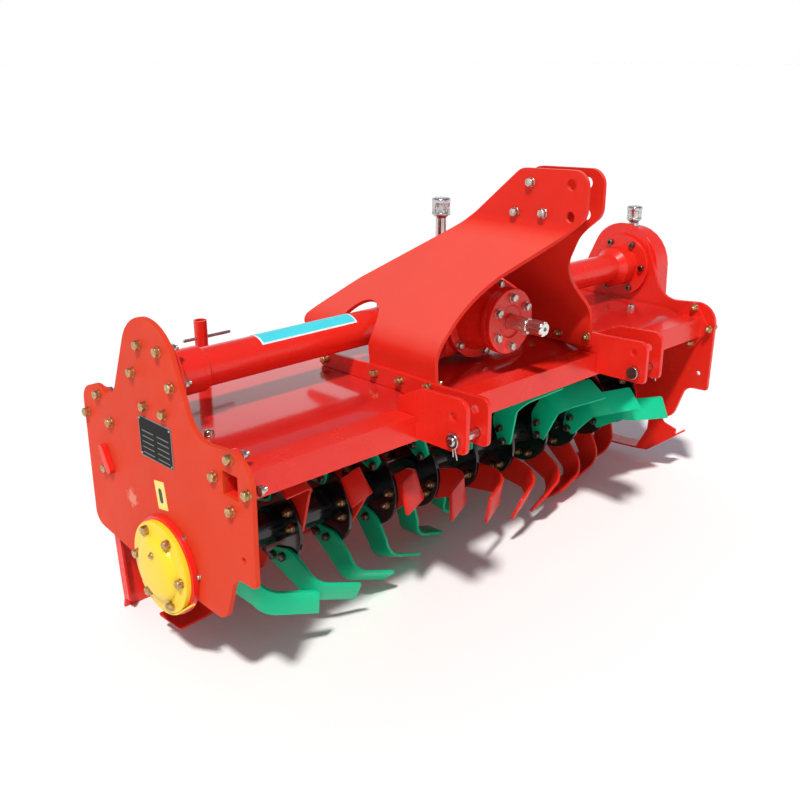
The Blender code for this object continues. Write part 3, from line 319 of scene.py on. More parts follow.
def make_finishes():
    """Every finish of the machine by its name."""
    tint = paint()
    red = tuple(tint.red)
    patch = (tuple(place(LEFT_FACE, 146, 107)), 0.060, (0.72, 0.23, 0.17))
    return {
        "red": painted("red_gloss_paint", red, tint.gloss, grime=0.05),
        "deck": painted("red_deck_paint", (red[0] * 0.8, red[1], red[2] * 1.6), 0.12, coat=0.6, peel=0.012,
                        grime=0.05),
        # The mast's upward faces take dust and a painted sheen of the sky
        "mast": painted("red_mast_paint", (red[0] * 0.92, red[1] * 1.1, red[2] * 1.1), 0.38, coat=0.03,
                        grime=0.05, shine=0.10, dust_and_sheen=0.26),
        "plate": painted("red_plate_paint", (red[0] * 0.88, red[1] * 2.4, red[2] * 1.5), 0.46, coat=0.0,
                         grime=0.10, worn=[patch], shine=0.10),
        "green": painted("green_tine_paint", tuple(tint.green), 0.34, coat=0.03, spread=0.14, shine=0.16),
        "tine_red": painted("red_tine_paint", scaled(red, 0.80), 0.34, coat=0.05, spread=0.10,
                            grime=0.04, shine=0.2),
        "yellow": painted("yellow_cover_paint", tuple(tint.yellow), 0.30),
        "black": painted("black_rotor_paint", tuple(tint.black), 0.18, coat=0.5, spread=0.2),
        "steel": plated("machined_steel", (0.66, 0.64, 0.59), (0.86, 0.84, 0.79), 0.27, 300.0),
        "chrome": plated("bright_chrome", (0.50, 0.48, 0.46), (0.62, 0.61, 0.59), 0.22, 30.0),
        "gold_zinc": plated("yellow_zinc", (0.36, 0.22, 0.09), (0.66, 0.46, 0.23), 0.34),
        "white_zinc": plated("white_zinc", (0.34, 0.32, 0.27), (0.68, 0.65, 0.58), 0.32),
        # A darker copy of the yellow zinc for the tine nuts: dull zinc with painted shade from the hood
        "dull_zinc_painted_shade": plated("dull_zinc_painted_shade", (0.16, 0.10, 0.05), (0.46, 0.32, 0.18), 0.36),
        # Dark steel for socket screws and tine bolts, and painted shade for the shaft's centre hole
        "dark_steel_and_shade": plated("dark_steel_and_shade", (0.07, 0.055, 0.045), (0.26, 0.22, 0.18), 0.34),
        "band": printed("cyan_vinyl", tuple(tint.band)),
        "border": printed("white_vinyl", (0.80, 0.80, 0.80)),
        "sticker": printed("yellow_vinyl", (0.84, 0.68, 0.16)),
        "ink": printed("dark_vinyl", (0.03, 0.025, 0.01)),
    }


FINISH = {}


def finish(name):
    if not FINISH:
        FINISH.update(make_finishes())
    return FINISH[name]


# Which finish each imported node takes
NODE_FINISH = {
    "side_plate_left": "plate",
    "hood": "deck",
    "bearing_cover": "yellow",
    "cover_strip": "yellow",
    "gearbox_breather": "chrome",
    "case_breather": "chrome",
    "board_sleeve_pin": "chrome",
    "hitch_pin_left": "chrome",
    "hitch_pin_right": "chrome",
    "pto_shaft": "steel",
    "rotor_tube": "black",
    "rotor_stub_left": "black",
    "rotor_stub_right": "black",
}


WELD_REACH = 0.00002
NODE_EDGE = 0.0014


def dress_node(name, node):
    """Round a node's edges, smooth it and give it its finish."""
    kind = "black" if name.startswith("tine_disc") else NODE_FINISH.get(name, "red")
    node.data.materials.clear()
    node.data.materials.append(finish(kind))
    for polygon in node.data.polygons:
        polygon.use_smooth = True
    weld = node.modifiers.new("Weld", "WELD")
    weld.merge_threshold = WELD_REACH
    flat = node.modifiers.new("Flat", "DECIMATE")
    flat.decimate_type = "DISSOLVE"
    flat.angle_limit = math.radians(0.5)
    edge = node.modifiers.new("Edge", "BEVEL")
    edge.width = NODE_EDGE
    edge.segments = 2
    edge.limit_method = "ANGLE"
    edge.angle_limit = math.radians(35)
    edge.harden_normals = True
    weight = node.modifiers.new("Normals", "WEIGHTED_NORMAL")
    weight.mode = "FACE_AREA"
    weight.weight = 80


# Modelling helpers

def clear():
    """Leave edit mode with nothing selected."""
    active = bpy.context.view_layer.objects.active
    if active and active.mode != "OBJECT":
        bpy.ops.object.mode_set(mode="OBJECT")
    bpy.ops.object.select_all(action="DESELECT")


def alone(part):
    """Select one object and make it active."""
    clear()
    part.select_set(True)
    bpy.context.view_layer.objects.active = part


def edit(part, kind="FACE"):
    """Open an object in edit mode with nothing picked."""
    alone(part)
    bpy.ops.object.mode_set(mode="EDIT")
    bpy.ops.mesh.select_mode(type=kind)
    bpy.ops.mesh.select_all(action="DESELECT")


def close_edit():
    """Point the open mesh's faces outwards and leave edit mode."""
    bpy.ops.mesh.select_all(action="SELECT")
    bpy.ops.mesh.normals_make_consistent(inside=False)
    bpy.ops.object.mode_set(mode="OBJECT")


def extrude(shift):
    """Extrude what is picked by a shift in metres."""
    bpy.ops.mesh.extrude_region_move(TRANSFORM_OT_translate={"value": shift})


def pick_faces(part, wanted):
    """Pick the faces of the open mesh whose middle and normal pass a test."""
    mesh = bmesh.from_edit_mesh(part.data)
    for face in mesh.faces:
        face.select_set(bool(wanted(face.calc_center_median() / MM, face.normal)))
    mesh.select_flush_mode()
    bmesh.update_edit_mesh(part.data)


def apply_modifier(part, kind, **settings):
    """Add a modifier, set it and apply it."""
    alone(part)
    modifier = part.modifiers.new(kind.title(), kind)
    for name, value in settings.items():
        setattr(modifier, name, value)
    bpy.ops.object.modifier_apply(modifier=modifier.name)


def rounded(part, width, segments=2, angle=35):
    """Round the sharp edges of a pattern; width is in mm."""
    apply_modifier(part, "BEVEL", width=width * MM, segments=segments,
                   limit_method="ANGLE", angle_limit=math.radians(angle))
    return part


def turned(name, rows, sides=32, hollow=False):
    """A turned pattern: a circle extruded and resized along +Z, row by row, in mm."""
    clear()
    radius, height = rows[0]
    bpy.ops.mesh.primitive_circle_add(vertices=sides, radius=radius * MM, location=(0, 0, 0),
                                      fill_type="NOTHING" if hollow else "NGON")
    part = bpy.context.object
    part.name = name
    edit(part, "VERT")
    bpy.ops.mesh.select_all(action="SELECT")
    bpy.ops.transform.translate(value=(0, 0, height * MM))
    for wider, higher in rows[1:]:
        extrude((0, 0, (higher - height) * MM))
        ratio = wider / radius
        bpy.ops.transform.resize(value=(ratio, ratio, 1), center_override=(0, 0, higher * MM))
        radius, height = wider, higher
    bpy.ops.mesh.select_all(action="SELECT")
    bpy.ops.mesh.remove_doubles(threshold=0.000001)
    if not hollow:
        bpy.ops.mesh.fill_holes(sides=0)
    close_edit()
    return part


def joined(name, pieces):
    """Join several objects into the first of them."""
    clear()
    for piece in pieces:
        piece.select_set(True)
    bpy.context.view_layer.objects.active = pieces[0]
    if len(pieces) > 1:
        bpy.ops.object.join()
    pieces[0].name = name
    return pieces[0]


def finished(part, name, kind, body, replaces=(), smooth=32):
    """Put the place in the mesh, name the piece, paint it and fix it to its body."""
    alone(part)
    bpy.ops.object.transform_apply(location=True, rotation=True, scale=True)
    if smooth:
        bpy.ops.object.shade_smooth_by_angle(angle=math.radians(smooth))
    part.name = name
    part.data.name = name
    part.data.materials.clear()
    part.data.materials.append(finish(kind))
    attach(part, body)
    if replaces:
        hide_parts(*replaces)
    return part


def turn_to(facing):
    """Turn a pattern made along +Z to face a direction."""
    return Vector(facing).to_track_quat("Z", "Y").to_matrix().to_4x4()


def seat_matrix(at, facing, spin=0.0):
    """Stand a pattern at a drawing point, facing a direction."""
    return Matrix.Translation(place(*at)) @ turn_to(facing) @ Matrix.Rotation(math.radians(spin), 4, "Z")


def copy_of(pattern, matrix):
    """A copy of a pattern with its own mesh, moved by a matrix."""
    copy = bpy.data.objects.new(pattern.name, pattern.data.copy())
    bpy.context.scene.collection.objects.link(copy)
    copy.data.transform(matrix)
    return copy


def turned_at(name, rows, sides, at, facing, hollow=False):
    """A turned piece on its one seat."""
    part = turned(name, rows, sides, hollow)
    part.data.transform(seat_matrix(at, facing))
    return part


def on_seats(pattern, seats):
    """Copies of a pattern on (place, facing, spin) seats."""
    return [copy_of(pattern, seat_matrix(*seat)) for seat in seats]


def ring_seats(centre, axis, radius, count, phase, at, facing, spin=0.0):
    """Seats evenly round a centre: axis X gives (y, z), axis Y gives (x, z)."""
    seats = []
    for index in range(count):
        angle = math.radians(phase + index * 360.0 / count)
        first = centre[0] + radius * math.cos(angle)
        second = centre[1] + radius * math.sin(angle)
        point = (at, first, second) if axis == "X" else (first, at, second)
        seats.append((point, facing, spin + 17.0 * index))
    return seats


def rounded_outline(corners, angle_step=6.0):
    """Points of an outline whose (y, z, radius) corners are arcs."""
    points = []
    count = len(corners)
    for index, (y, z, radius) in enumerate(corners):
        here = Vector((y, z))
        if radius <= 0:
            points.append(here)
            continue
        before = (Vector(corners[index - 1][:2]) - here).normalized()
        after = (Vector(corners[(index + 1) % count][:2]) - here).normalized()
        half = before.angle(after) / 2
        centre = here + (before + after).normalized() * (radius / math.sin(half))
        first = here + before * (radius / math.tan(half)) - centre
        turn = math.pi - 2 * half
        if before.x * after.y - before.y * after.x > 0:
            turn = -turn
        steps = max(3, math.ceil(math.degrees(abs(turn)) / angle_step))
        for step in range(steps + 1):
            angle = turn * step / steps
            points.append(centre + Vector((first.x * math.cos(angle) - first.y * math.sin(angle),
                                           first.x * math.sin(angle) + first.y * math.cos(angle))))
    return points


def outline_sheet(name, corners):
    """A flat sheet across X: a filled circle whose points are moved onto a rounded outline."""
    points = rounded_outline(corners)
    clear()
    bpy.ops.mesh.primitive_circle_add(vertices=len(points), radius=0.1, fill_type="NGON", location=(0, 0, 0))
    part = bpy.context.object
    part.name = name
    edit(part, "VERT")
    mesh = bmesh.from_edit_mesh(part.data)
    for vert, point in zip(list(mesh.verts), points):
        vert.co = Vector((0, point.x, point.y)) * MM
    bmesh.update_edit_mesh(part.data)
    bpy.ops.object.mode_set(mode="OBJECT")
    return part


def hole_cutter(at, radius, sides):
    """A round cutter along X, for a sheet that still stands at the origin; all in mm."""
    cutter = turned("hole", [(radius, -20.0), (radius, 20.0)], sides)
    cutter.data.transform(Matrix.Translation(Vector(at) * MM) @ turn_to((1, 0, 0)))
    return cutter


def cut_out(part, cutters):
    """Cut other objects out of a part and remove them."""
    cutter = joined("cutter", cutters)
    apply_modifier(part, "BOOLEAN", operation="DIFFERENCE", object=cutter, solver="EXACT")
    bpy.data.objects.remove(cutter)


def edge_finish(part, width=1.3):
    """Round a sheet's edges and let its flat faces rule its shading."""
    rounded(part, width, 2, 40)
    alone(part)
    bpy.ops.object.shade_smooth_by_angle(angle=math.radians(36))
    apply_modifier(part, "WEIGHTED_NORMAL", mode="FACE_AREA", weight=90, keep_sharp=True)


def mark_upward(part):
    """Write on a piece how far each face corner faces up, for the dust and the painted sky sheen laid on
    upward faces.
    """
    heights = [normal.vector.z for normal in part.data.corner_normals]
    upward = part.data.attributes.new("upward", "FLOAT", "CORNER")
    upward.data.foreach_set("value", heights)


PATTERNS = {}


def pattern(name):
    """A fastener pattern, modelled the first time it is asked for."""
    if name not in PATTERNS:
        PATTERNS[name] = PATTERN_MAKERS[name]()
    return PATTERNS[name]


def put_away_patterns():
    """Remove the patterns once every copy is made."""
    for part in PATTERNS.values():
        bpy.data.objects.remove(part)
    PATTERNS.clear()


def make_hex_bolt():
    """Washer and a deep hexagon head with a chamfered top."""
    radius = parts().bolt_radius / MM
    washer = turned("washer", [(radius + 0.6, 0.0), (radius + 0.6, 2.6), (radius + 0.2, 3.0)], 24)
    head = turned("head", [(radius, 2.8), (radius, 11.6), (radius * 0.90, 12.6)], 6)
    rounded(head, 0.3, 1, 25)
    return joined("hex_bolt", [washer, head])


def make_nut():
    """Washer, nut and the threaded end that stands out of it."""
    radius = parts().bolt_radius / MM
    washer = turned("washer", [(radius + 0.8, 0.0), (radius + 0.8, 1.6), (radius + 0.4, 2.0)], 24)
    nut = turned("nut", [(radius, 1.5), (radius, 9.4), (radius * 0.88, 10.4)], 6)
    rounded(nut, 0.35, 1, 25)
    rows = [(5.6, 9.0)]
    for turn in range(4):
        rows += [(5.6, 11.4 + turn * 1.6), (5.0, 12.2 + turn * 1.6)]
    rows += [(5.4, 17.6), (4.2, 18.6)]
    end = turned("thread", rows, 14)
    return joined("nut", [washer, nut, end])


SOCKET_DEPTH = 5.0


def make_socket_bolt():
    """Cap screw with a socket in its head."""
    head = turned("head", [(9.2, 0.0), (9.2, 8.6), (8.4, 9.6), (5.4, 9.6)], 24)
    edit(head)
    pick_faces(head, lambda middle, normal: normal.z > 0.9 and Vector(middle[:2]).length < 1)
    extrude((0, 0, -SOCKET_DEPTH * MM))
    bpy.ops.object.mode_set(mode="OBJECT")
    return head


PATTERN_MAKERS = {
    "hex_bolt": make_hex_bolt,
    "nut": make_nut,
    "socket_bolt": make_socket_bolt,
}


def fasteners(name, kind, seats, finish_name, body="frame"):
    """One piece of like fasteners on their seats."""
    return finished(joined(name, on_seats(pattern(kind), seats)), name, finish_name, body)


# Rotor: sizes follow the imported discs, in mm
DISC_COUNT = 11
DISC_RADIUS = 103.0
DISC_BORE = 44.9
DISC_WALL = 10.0
DISC_FIRST = -722.7
DISC_LAST = 802.7
TINE_WALL = 8.0
TINE_SEAT = 0.2
TINE_RADIUS = 250.0
TINE_BEND_RADIUS = 50.0
TINE_BEND = math.radians(72.0)
TINE_PHASE = 281.0
TINE_HELIX = 180.0 / DISC_COUNT
TIP_LIMITS = (-824.7, 842.7)
TINE_ARM = (
    # low corner along, aside, high corner along, aside
    (76.0, -5.0, 35.0, 46.0),
    (92.0, -10.0, 58.0, 79.0),
)
TINE_ASIDE = (14.0, 40.0)
TINE_WIDTH = (70.0, 72.0)
TINE_SLANT = (10.0, 13.0)
TINE_KINDS = (
    # name, finish, slot, side the lip bends to, turn from the first kind, reach past the disc
    ("green_tines", "green", "green_paint", 1, 0.0, 118.0),
    ("red_tines", "tine_red", "red_paint", -1, -94.0, 92.0),
)
TINE_ROOT_ROUND = 12.0
TINE_TIP_ROUND = 5.0
TINE_BOLTS = (
    # along, aside
    (52.0, 56.0),
    (77.0, 28.0),
)


def disc_x(index):
    return DISC_FIRST + index * (DISC_LAST - DISC_FIRST) / (DISC_COUNT - 1)


def disc_tines(index, side, turn, reach):
    """The angles of one kind of tine on a disc, none where a side plate is in the way."""
    tip = disc_x(index) + side * reach
    if not TIP_LIMITS[0] < tip < TIP_LIMITS[1]:
        return []
    step = index - (DISC_COUNT - 1) // 2
    return [TINE_PHASE + step * TINE_HELIX + turn + half_turn for half_turn in (0.0, 180.0)]


def tine_rows(side, reach):
    """Corner pairs of a tine's middle sheet from root to tip, along +Y, in mm."""
    half = TINE_WALL / 2
    across = reach + DISC_WALL / 2 + half
    lip = (across - TINE_BEND_RADIUS * (1 - math.cos(TINE_BEND))) / math.sin(TINE_BEND)
    corner = TINE_ASIDE[1] + TINE_WIDTH[1] / 2
    tip = math.sqrt(TINE_RADIUS ** 2 - corner ** 2) - TINE_SLANT[1] / 2 - half
    arm_end = tip - TINE_BEND_RADIUS * math.sin(TINE_BEND) - lip * math.cos(TINE_BEND)
    arc = TINE_BEND_RADIUS * TINE_BEND
    rows = [(Vector((0, low[0], low[1])), Vector((0, high[0], high[1])))
            for low, high in ((row[:2], row[2:]) for row in TINE_ARM)]
    count = parts().bend_rows
    lengths = [arc * index / count for index in range(count + 1)]
    lengths += [arc + lip * share for share in (0.33, 0.67, 1.0)]
    for length in lengths:
        turn = min(length, arc) / TINE_BEND_RADIUS
        past = max(0.0, length - arc)
        share = length / (arc + lip)
        aside, width, slant = (low + (high - low) * share
                               for low, high in (TINE_ASIDE, TINE_WIDTH, TINE_SLANT))
        along = arm_end + TINE_BEND_RADIUS * math.sin(turn) + past * math.cos(turn)
        over = TINE_BEND_RADIUS * (1 - math.cos(turn)) + past * math.sin(turn)
        middle = Vector((side * over, along, aside))
        spread = Vector((side * math.sin(turn) * slant / 2, math.cos(turn) * slant / 2, width / 2))
        rows.append((middle - spread, middle + spread))
    return rows


def make_tine(name, side, reach):
    """A plane drawn out edge by edge along the tine, with round root and tip corners, thickened."""
    rows = tine_rows(side, reach)
    clear()
    bpy.ops.mesh.primitive_plane_add(size=0.05, location=(0, 0, 0))
    part = bpy.context.object
    part.name = name
    edit(part, "VERT")
    mesh = bmesh.from_edit_mesh(part.data)
    mesh.faces.ensure_lookup_table()
    verts = list(mesh.faces[0].verts)
    for vert, point in zip(verts, (rows[0][0], rows[0][1], rows[1][1], rows[1][0])):
        vert.co = point * MM
    last = verts[2:]
    for vert in last:
        vert.select_set(True)
    mesh.select_flush_mode()
    bmesh.update_edit_mesh(part.data)
    bpy.ops.mesh.select_mode(type="EDGE")
    before = rows[1]
    for low, high in rows[2:]:
        step = ((low + high) - (before[0] + before[1])) / 2 * MM
        extrude(tuple(step))
        mesh = bmesh.from_edit_mesh(part.data)
        ends = sorted((vert for vert in mesh.verts if vert.select), key=lambda vert: vert.co.z)
        ends[0].co = low * MM
        ends[1].co = high * MM
        bmesh.update_edit_mesh(part.data)
        before = (low, high)
    round_corners(part, (rows[0][0], rows[0][1]), TINE_ROOT_ROUND)
    round_corners(part, (rows[-1][0], rows[-1][1]), TINE_TIP_ROUND)
    close_edit()
    apply_modifier(part, "SOLIDIFY", thickness=TINE_WALL * MM, offset=0.0, use_even_offset=True)
    rounded(part, 1.1, 2, 40)
    return part


def round_corners(part, corners, radius):
    """Round two corners of an open sheet in edit mode."""
    bpy.ops.mesh.select_mode(type="VERT")
    bpy.ops.mesh.select_all(action="DESELECT")
    mesh = bmesh.from_edit_mesh(part.data)
    for vert in mesh.verts:
        if min((vert.co / MM - corner).length for corner in corners) < 0.01:
            vert.select_set(True)
    mesh.select_flush_mode()
    bmesh.update_edit_mesh(part.data)
    bpy.ops.mesh.bevel(offset=radius * MM, segments=4, affect="VERTICES")


# Operators

class TILLER_OT_finish_nodes(bpy.types.Operator):
    """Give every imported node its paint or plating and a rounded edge"""
    bl_idname = "tiller.finish_nodes"
    bl_label = "Finish the packed nodes"

    def execute(self, context):
        for name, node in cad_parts.items():
            dress_node(name, node)
        return {"FINISHED"}


class TILLER_OT_discs(bpy.types.Operator):
    """Turn the rotor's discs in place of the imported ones"""
    bl_idname = "tiller.discs"
    bl_label = "Rotor discs"

    def execute(self, context):
        half = DISC_WALL / 2
        rows = [(DISC_BORE, -half), (DISC_RADIUS - 1, -half), (DISC_RADIUS, 1 - half),
                (DISC_RADIUS, half - 1), (DISC_RADIUS - 1, half), (DISC_BORE, half), (DISC_BORE, -half)]
        disc = turned("disc", rows, parts().disc_sides, hollow=True)
        for index in range(DISC_COUNT):
            copy = copy_of(disc, seat_matrix((disc_x(index), 0, 0), (1, 0, 0)))
            name = "tine_disc_%02d" % (index + 1)
            finished(copy, "turned_disc_%02d" % (index + 1), "black", "rotor", [name])
        bpy.data.objects.remove(disc)
        return {"FINISHED"}


class TILLER_OT_tines(bpy.types.Operator):
    """Draw out both kinds of bent tine and set them on their discs"""
    bl_idname = "tiller.tines"
    bl_label = "Tines"

    def execute(self, context):
        for name, kind, slot, side, turn, reach in TINE_KINDS:
            tine = make_tine(name, side, reach)
            offset = -side * (DISC_WALL / 2 + TINE_WALL / 2 - TINE_SEAT)
            for index in range(DISC_COUNT):
                copies = []
                for angle in disc_tines(index, side, turn, reach):
                    at = Matrix.Translation(place(disc_x(index) + offset, 0, 0))
                    copies.append(copy_of(tine, at @ Matrix.Rotation(math.radians(angle), 4, "X")))
                if copies:
                    part_name = "%s_%02d" % (name, index + 1)
                    finished(joined(part_name, copies), part_name, kind, "rotor")
            bpy.data.objects.remove(tine)
        return {"FINISHED"}


def tine_bolt_seats(near):
    """Seats of the tine bolts: near is the face on the tine, the other the far face of the disc."""
    seats = []
    for *_, side, turn, reach in TINE_KINDS:
        face = DISC_WALL / 2 + TINE_WALL - TINE_SEAT if near else DISC_WALL / 2
        away = -side if near else side
        for index in range(DISC_COUNT):
            for angle in disc_tines(index, side, turn, reach):
                ahead = Vector((math.cos(math.radians(angle)), math.sin(math.radians(angle))))
                for along, aside in TINE_BOLTS:
                    point = ahead * along + Vector((-ahead.y, ahead.x)) * aside
                    seats.append(((disc_x(index) + away * face, point.x, point.y), (away, 0, 0), angle))
    return seats


class TILLER_OT_tine_bolts(bpy.types.Operator):
    """Bolt every tine to its disc"""
    bl_idname = "tiller.tine_bolts"
    bl_label = "Tine bolts"

    def execute(self, context):
        fasteners("tine_bolts", "hex_bolt", tine_bolt_seats(True), "dark_steel_and_shade", "rotor")
        # The tine nuts' darker zinc holds painted shade
        fasteners("tine_nuts", "nut", tine_bolt_seats(False), "dull_zinc_painted_shade", "rotor")
        return {"FINISHED"}


SIDE_OUTLINE = (
    # y, z, corner radius
    (20.0, 711.0, 107.0),
    (193.0, 330.0, 42.0),
    (262.0, 352.0, 46.0),
    (334.0, 326.0, 46.0),
    (334.0, -14.0, 36.0),
    (165.0, -38.0, 150.0),
    (-206.0, -55.0, 42.0),
    (-246.0, 64.0, 38.0),
    (-318.0, 67.0, 8.0),
    (-322.0, 344.0, 62.0),
    (-134.0, 328.0, 68.0),
)
PLATE_WALL = 12.0
BEAM_BORE = (-251.0, 266.0, 51.0)
PLATE_HOLE = (-283.0, 117.0)
PLATE_HOLE_RADIUS = 7.0


class TILLER_OT_side_plates(bpy.types.Operator):
    """Cut both side plates with smooth outlines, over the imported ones"""
    bl_idname = "tiller.side_plates"
    bl_label = "Side plates"

    def execute(self, context):
        half = PLATE_WALL / 2
        for name, kind, middle in (("side_plate_left", "plate", LEFT_FACE + half),
                                   ("side_plate_right", "red", RIGHT_FACE - half)):
            part = outline_sheet(name, SIDE_OUTLINE)
            apply_modifier(part, "SOLIDIFY", thickness=PLATE_WALL * MM, offset=0.0)
            y, z, side = BEAM_BORE
            clear()
            bpy.ops.mesh.primitive_cube_add(size=1.0, location=(0, y * MM, z * MM))
            square = bpy.context.object
            square.scale = (0.06, side * MM, side * MM)
            cut_out(part, [square, hole_cutter((0, *PLATE_HOLE), PLATE_HOLE_RADIUS, 32)])
            part.data.transform(Matrix.Translation(place(middle, 0, 0)))
            edge_finish(part)
            finished(part, "cut_" + name, kind, "frame", [name], smooth=0)
        return {"FINISHED"}


MAST_OUTLINE = (
    # y, z, corner radius
    (-272.0, 806.0, 40.0),
    (-457.0, 812.0, 36.0),
    (-457.0, 710.0, 40.0),
    (-386.0, 650.0, 600.0),
    (-290.0, 562.0, 180.0),
    (-258.0, 500.0, 140.0),
    (-266.0, 312.0, 6.0),
    (-49.0, 312.0, 6.0),
)
MAST_ARCH_RADIUS = 62.0
MAST_TAIL = (
    # y, z, corner radius
    (100.0, 396.0, 6.0),
    (200.0, 398.0, 10.0),
    (216.0, 412.0, 16.0),
    (108.0, 512.0, 260.0),
    (-99.0, 660.0, 300.0),
)
MAST_WALL = 10.0
EAR_X = 30.0
FOOT_X = 295.7
EAR_BEND_Z = 665.0
FOOT_BEND_Z = 415.0
BEND_REACH = 30.0
LINK_HOLES = ((-414.0, 779.0), (-414.0, 709.0))
LINK_HOLE_RADIUS = 12.7


def mast_x(z):
    """Distance of the mast plate's middle from the centreline, with both bends rounded."""
    slope = (EAR_X - FOOT_X) / (EAR_BEND_Z - FOOT_BEND_Z)
    reach = BEND_REACH
    if z <= FOOT_BEND_Z - reach:
        return FOOT_X
    if z < FOOT_BEND_Z + reach:
        return FOOT_X + slope * (z - FOOT_BEND_Z + reach) ** 2 / (4 * reach)
    if z <= EAR_BEND_Z - reach:
        return FOOT_X + slope * (z - FOOT_BEND_Z)
    if z < EAR_BEND_Z + reach:
        return EAR_X + slope * (EAR_BEND_Z + reach - z) ** 2 / -(4 * reach)
    return EAR_X


class TILLER_OT_mast(bpy.types.Operator):
    """Bend both mast plates with round bends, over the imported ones"""
    bl_idname = "tiller.mast"
    bl_label = "Mast plates"

    def execute(self, context):
        y, z = TUBE_AXIS
        angles = [math.radians(200.0 - step * 10.0) for step in range(23)]
        arch = tuple((y + MAST_ARCH_RADIUS * math.cos(angle), z + MAST_ARCH_RADIUS * math.sin(angle), 0.0)
                     for angle in angles)
        for name, side in (("mast_left", -1), ("mast_right", 1)):
            part = outline_sheet(name, MAST_OUTLINE + arch + MAST_TAIL)
            edit(part)
            for bend in (FOOT_BEND_Z, EAR_BEND_Z):
                for step in range(-5, 6):
                    height = (bend + step * BEND_REACH / 5) * MM
                    bpy.ops.mesh.select_all(action="SELECT")
                    bpy.ops.mesh.bisect(plane_co=(0, 0, height), plane_no=(0, 0, 1))
            bpy.ops.mesh.select_all(action="SELECT")
            mesh = bmesh.from_edit_mesh(part.data)
            for vert in mesh.verts:
                vert.co.x = side * mast_x(vert.co.z / MM) * MM
            bmesh.update_edit_mesh(part.data)
            bpy.ops.object.mode_set(mode="OBJECT")
            apply_modifier(part, "SOLIDIFY", thickness=MAST_WALL * MM, offset=0.0, use_even_offset=True)
            cut_out(part, [hole_cutter((side * EAR_X, *hole), LINK_HOLE_RADIUS, 40) for hole in LINK_HOLES])
            part.data.transform(Matrix.Translation(place(0, 0, 0)))
            edge_finish(part)
            mark_upward(part)
            finished(part, "bent_" + name, "mast", "frame", [name], smooth=0)
        return {"FINISHED"}


# Bolt circles of the side plates: centre y, z, radius, count, phase
HUMP_CIRCLE = ((12.0, 419.0), 77.0, 6, -1.0)
BEAM_CIRCLE = ((-255.0, 269.0), 55.0, 4, 2.0)
EAR_BOLTS = ((256.0, 327.0), (316.0, 270.0), (207.0, 273.0))
LUG_BOLT = (253.0, 148.0)
RING_SCREWS = ((-116.0, 14.0), (-67.0, 86.0))
SMALL_SCREW = 0.55
DECK_BOLTS = ((-790.0, -92.0, 308.0), (755.0, -92.0, 308.0))
SKID_BOLTS = ((-142.0, -40.0), (-144.0, -113.0), (186.0, -40.0))
# Where the nuts, the skid's bolts and the flange's screws sit along X
LEFT_TUBE_NUTS = -825.7
LEFT_BEAM_NUTS = -827.7
RIGHT_BEAM_NUTS = 845.7
SKID_FACE = 878.8
SKID_NUT = 858.0
RIGHT_FLANGE = 843.7


def plate_seats(circle, at, facing):
    centre, radius, count, phase = circle
    return ring_seats(centre, "X", radius, count, phase, at, (facing, 0, 0))


def spot_seats(points, at, facing):
    """Seats at (y, z) points of a plane across X."""
    return [((at, y, z), (facing, 0, 0), 23.0 * index) for index, (y, z) in enumerate(points)]


class TILLER_OT_plate_bolts(bpy.types.Operator):
    """Bolt the tubes and the beam to both side plates"""
    bl_idname = "tiller.plate_bolts"
    bl_label = "Side plate bolts"

    def execute(self, context):
        left = plate_seats(HUMP_CIRCLE, LEFT_FACE, -1) + plate_seats(BEAM_CIRCLE, LEFT_FACE, -1)
        left += spot_seats(EAR_BOLTS + (LUG_BOLT,), LEFT_FACE, -1)
        fasteners("left_plate_bolts", "hex_bolt", left, "gold_zinc")
        small = copy_of(pattern("hex_bolt"), Matrix.Scale(SMALL_SCREW, 4))
        screws = joined("ring_screws", on_seats(small, spot_seats(RING_SCREWS, LEFT_FACE, -1)))
        bpy.data.objects.remove(small)
        finished(screws, "ring_screws", "white_zinc", "frame")
        inner = plate_seats(HUMP_CIRCLE, LEFT_TUBE_NUTS, 1)
        inner += plate_seats(BEAM_CIRCLE, LEFT_BEAM_NUTS, 1) + spot_seats(EAR_BOLTS, LEFT_BEAM_NUTS, 1)
        fasteners("left_plate_nuts", "nut", inner, "white_zinc")
        right = plate_seats(BEAM_CIRCLE, RIGHT_FACE, 1) + spot_seats(EAR_BOLTS, RIGHT_FACE, 1)
        right += spot_seats(SKID_BOLTS, SKID_FACE, 1)
        fasteners("right_plate_bolts", "hex_bolt", right, "gold_zinc")
        nuts = plate_seats(BEAM_CIRCLE, RIGHT_BEAM_NUTS, -1) + spot_seats(EAR_BOLTS, RIGHT_BEAM_NUTS, -1)
        nuts += spot_seats(SKID_BOLTS[:1], SKID_NUT, -1)
        fasteners("right_plate_nuts", "nut", nuts, "gold_zinc")
        sockets = ring_seats(TUBE_AXIS, "X", 79.0, 6, 0.0, RIGHT_FLANGE, (-1, 0, 0))
        fasteners("right_flange_screws", "socket_bolt", sockets, "dark_steel_and_shade")
        return {"FINISHED"}


COVER_ROWS = (
    # radius, height above the ring's face
    (105.0, 0.0), (105.0, 10.6), (104.2, 12.4), (102.4, 13.0), (77.0, 13.0), (75.0, 14.0), (73.2, 17.6),
    (71.0, 21.6), (67.0, 25.2), (61.0, 28.0), (53.0, 30.0), (42.0, 31.6), (28.0, 32.5), (14.0, 32.9),
    (5.0, 33.0),
)
RING_ROWS = (
    # radius, height above the plate
    (33.0, 0.0), (111.0, 0.0), (112.0, 1.0), (112.0, 13.6), (111.2, 14.8), (110.0, 15.0), (33.0, 15.0),
    (33.0, 0.0),
)


# Places along X of the bearing ring, its cover and the cover's bolts, and the grease plug's point
RING_X = -852.3
COVER_X = -867.6
COVER_BOLTS_X = -880.6
PLUG_AT = (-898.0, -6.0, 38.0)
PLUG_ROWS = ((8.0, -3.0), (8.0, 3.0), (7.0, 4.4), (4.4, 4.4), (4.0, 8.0), (2.6, 9.0))


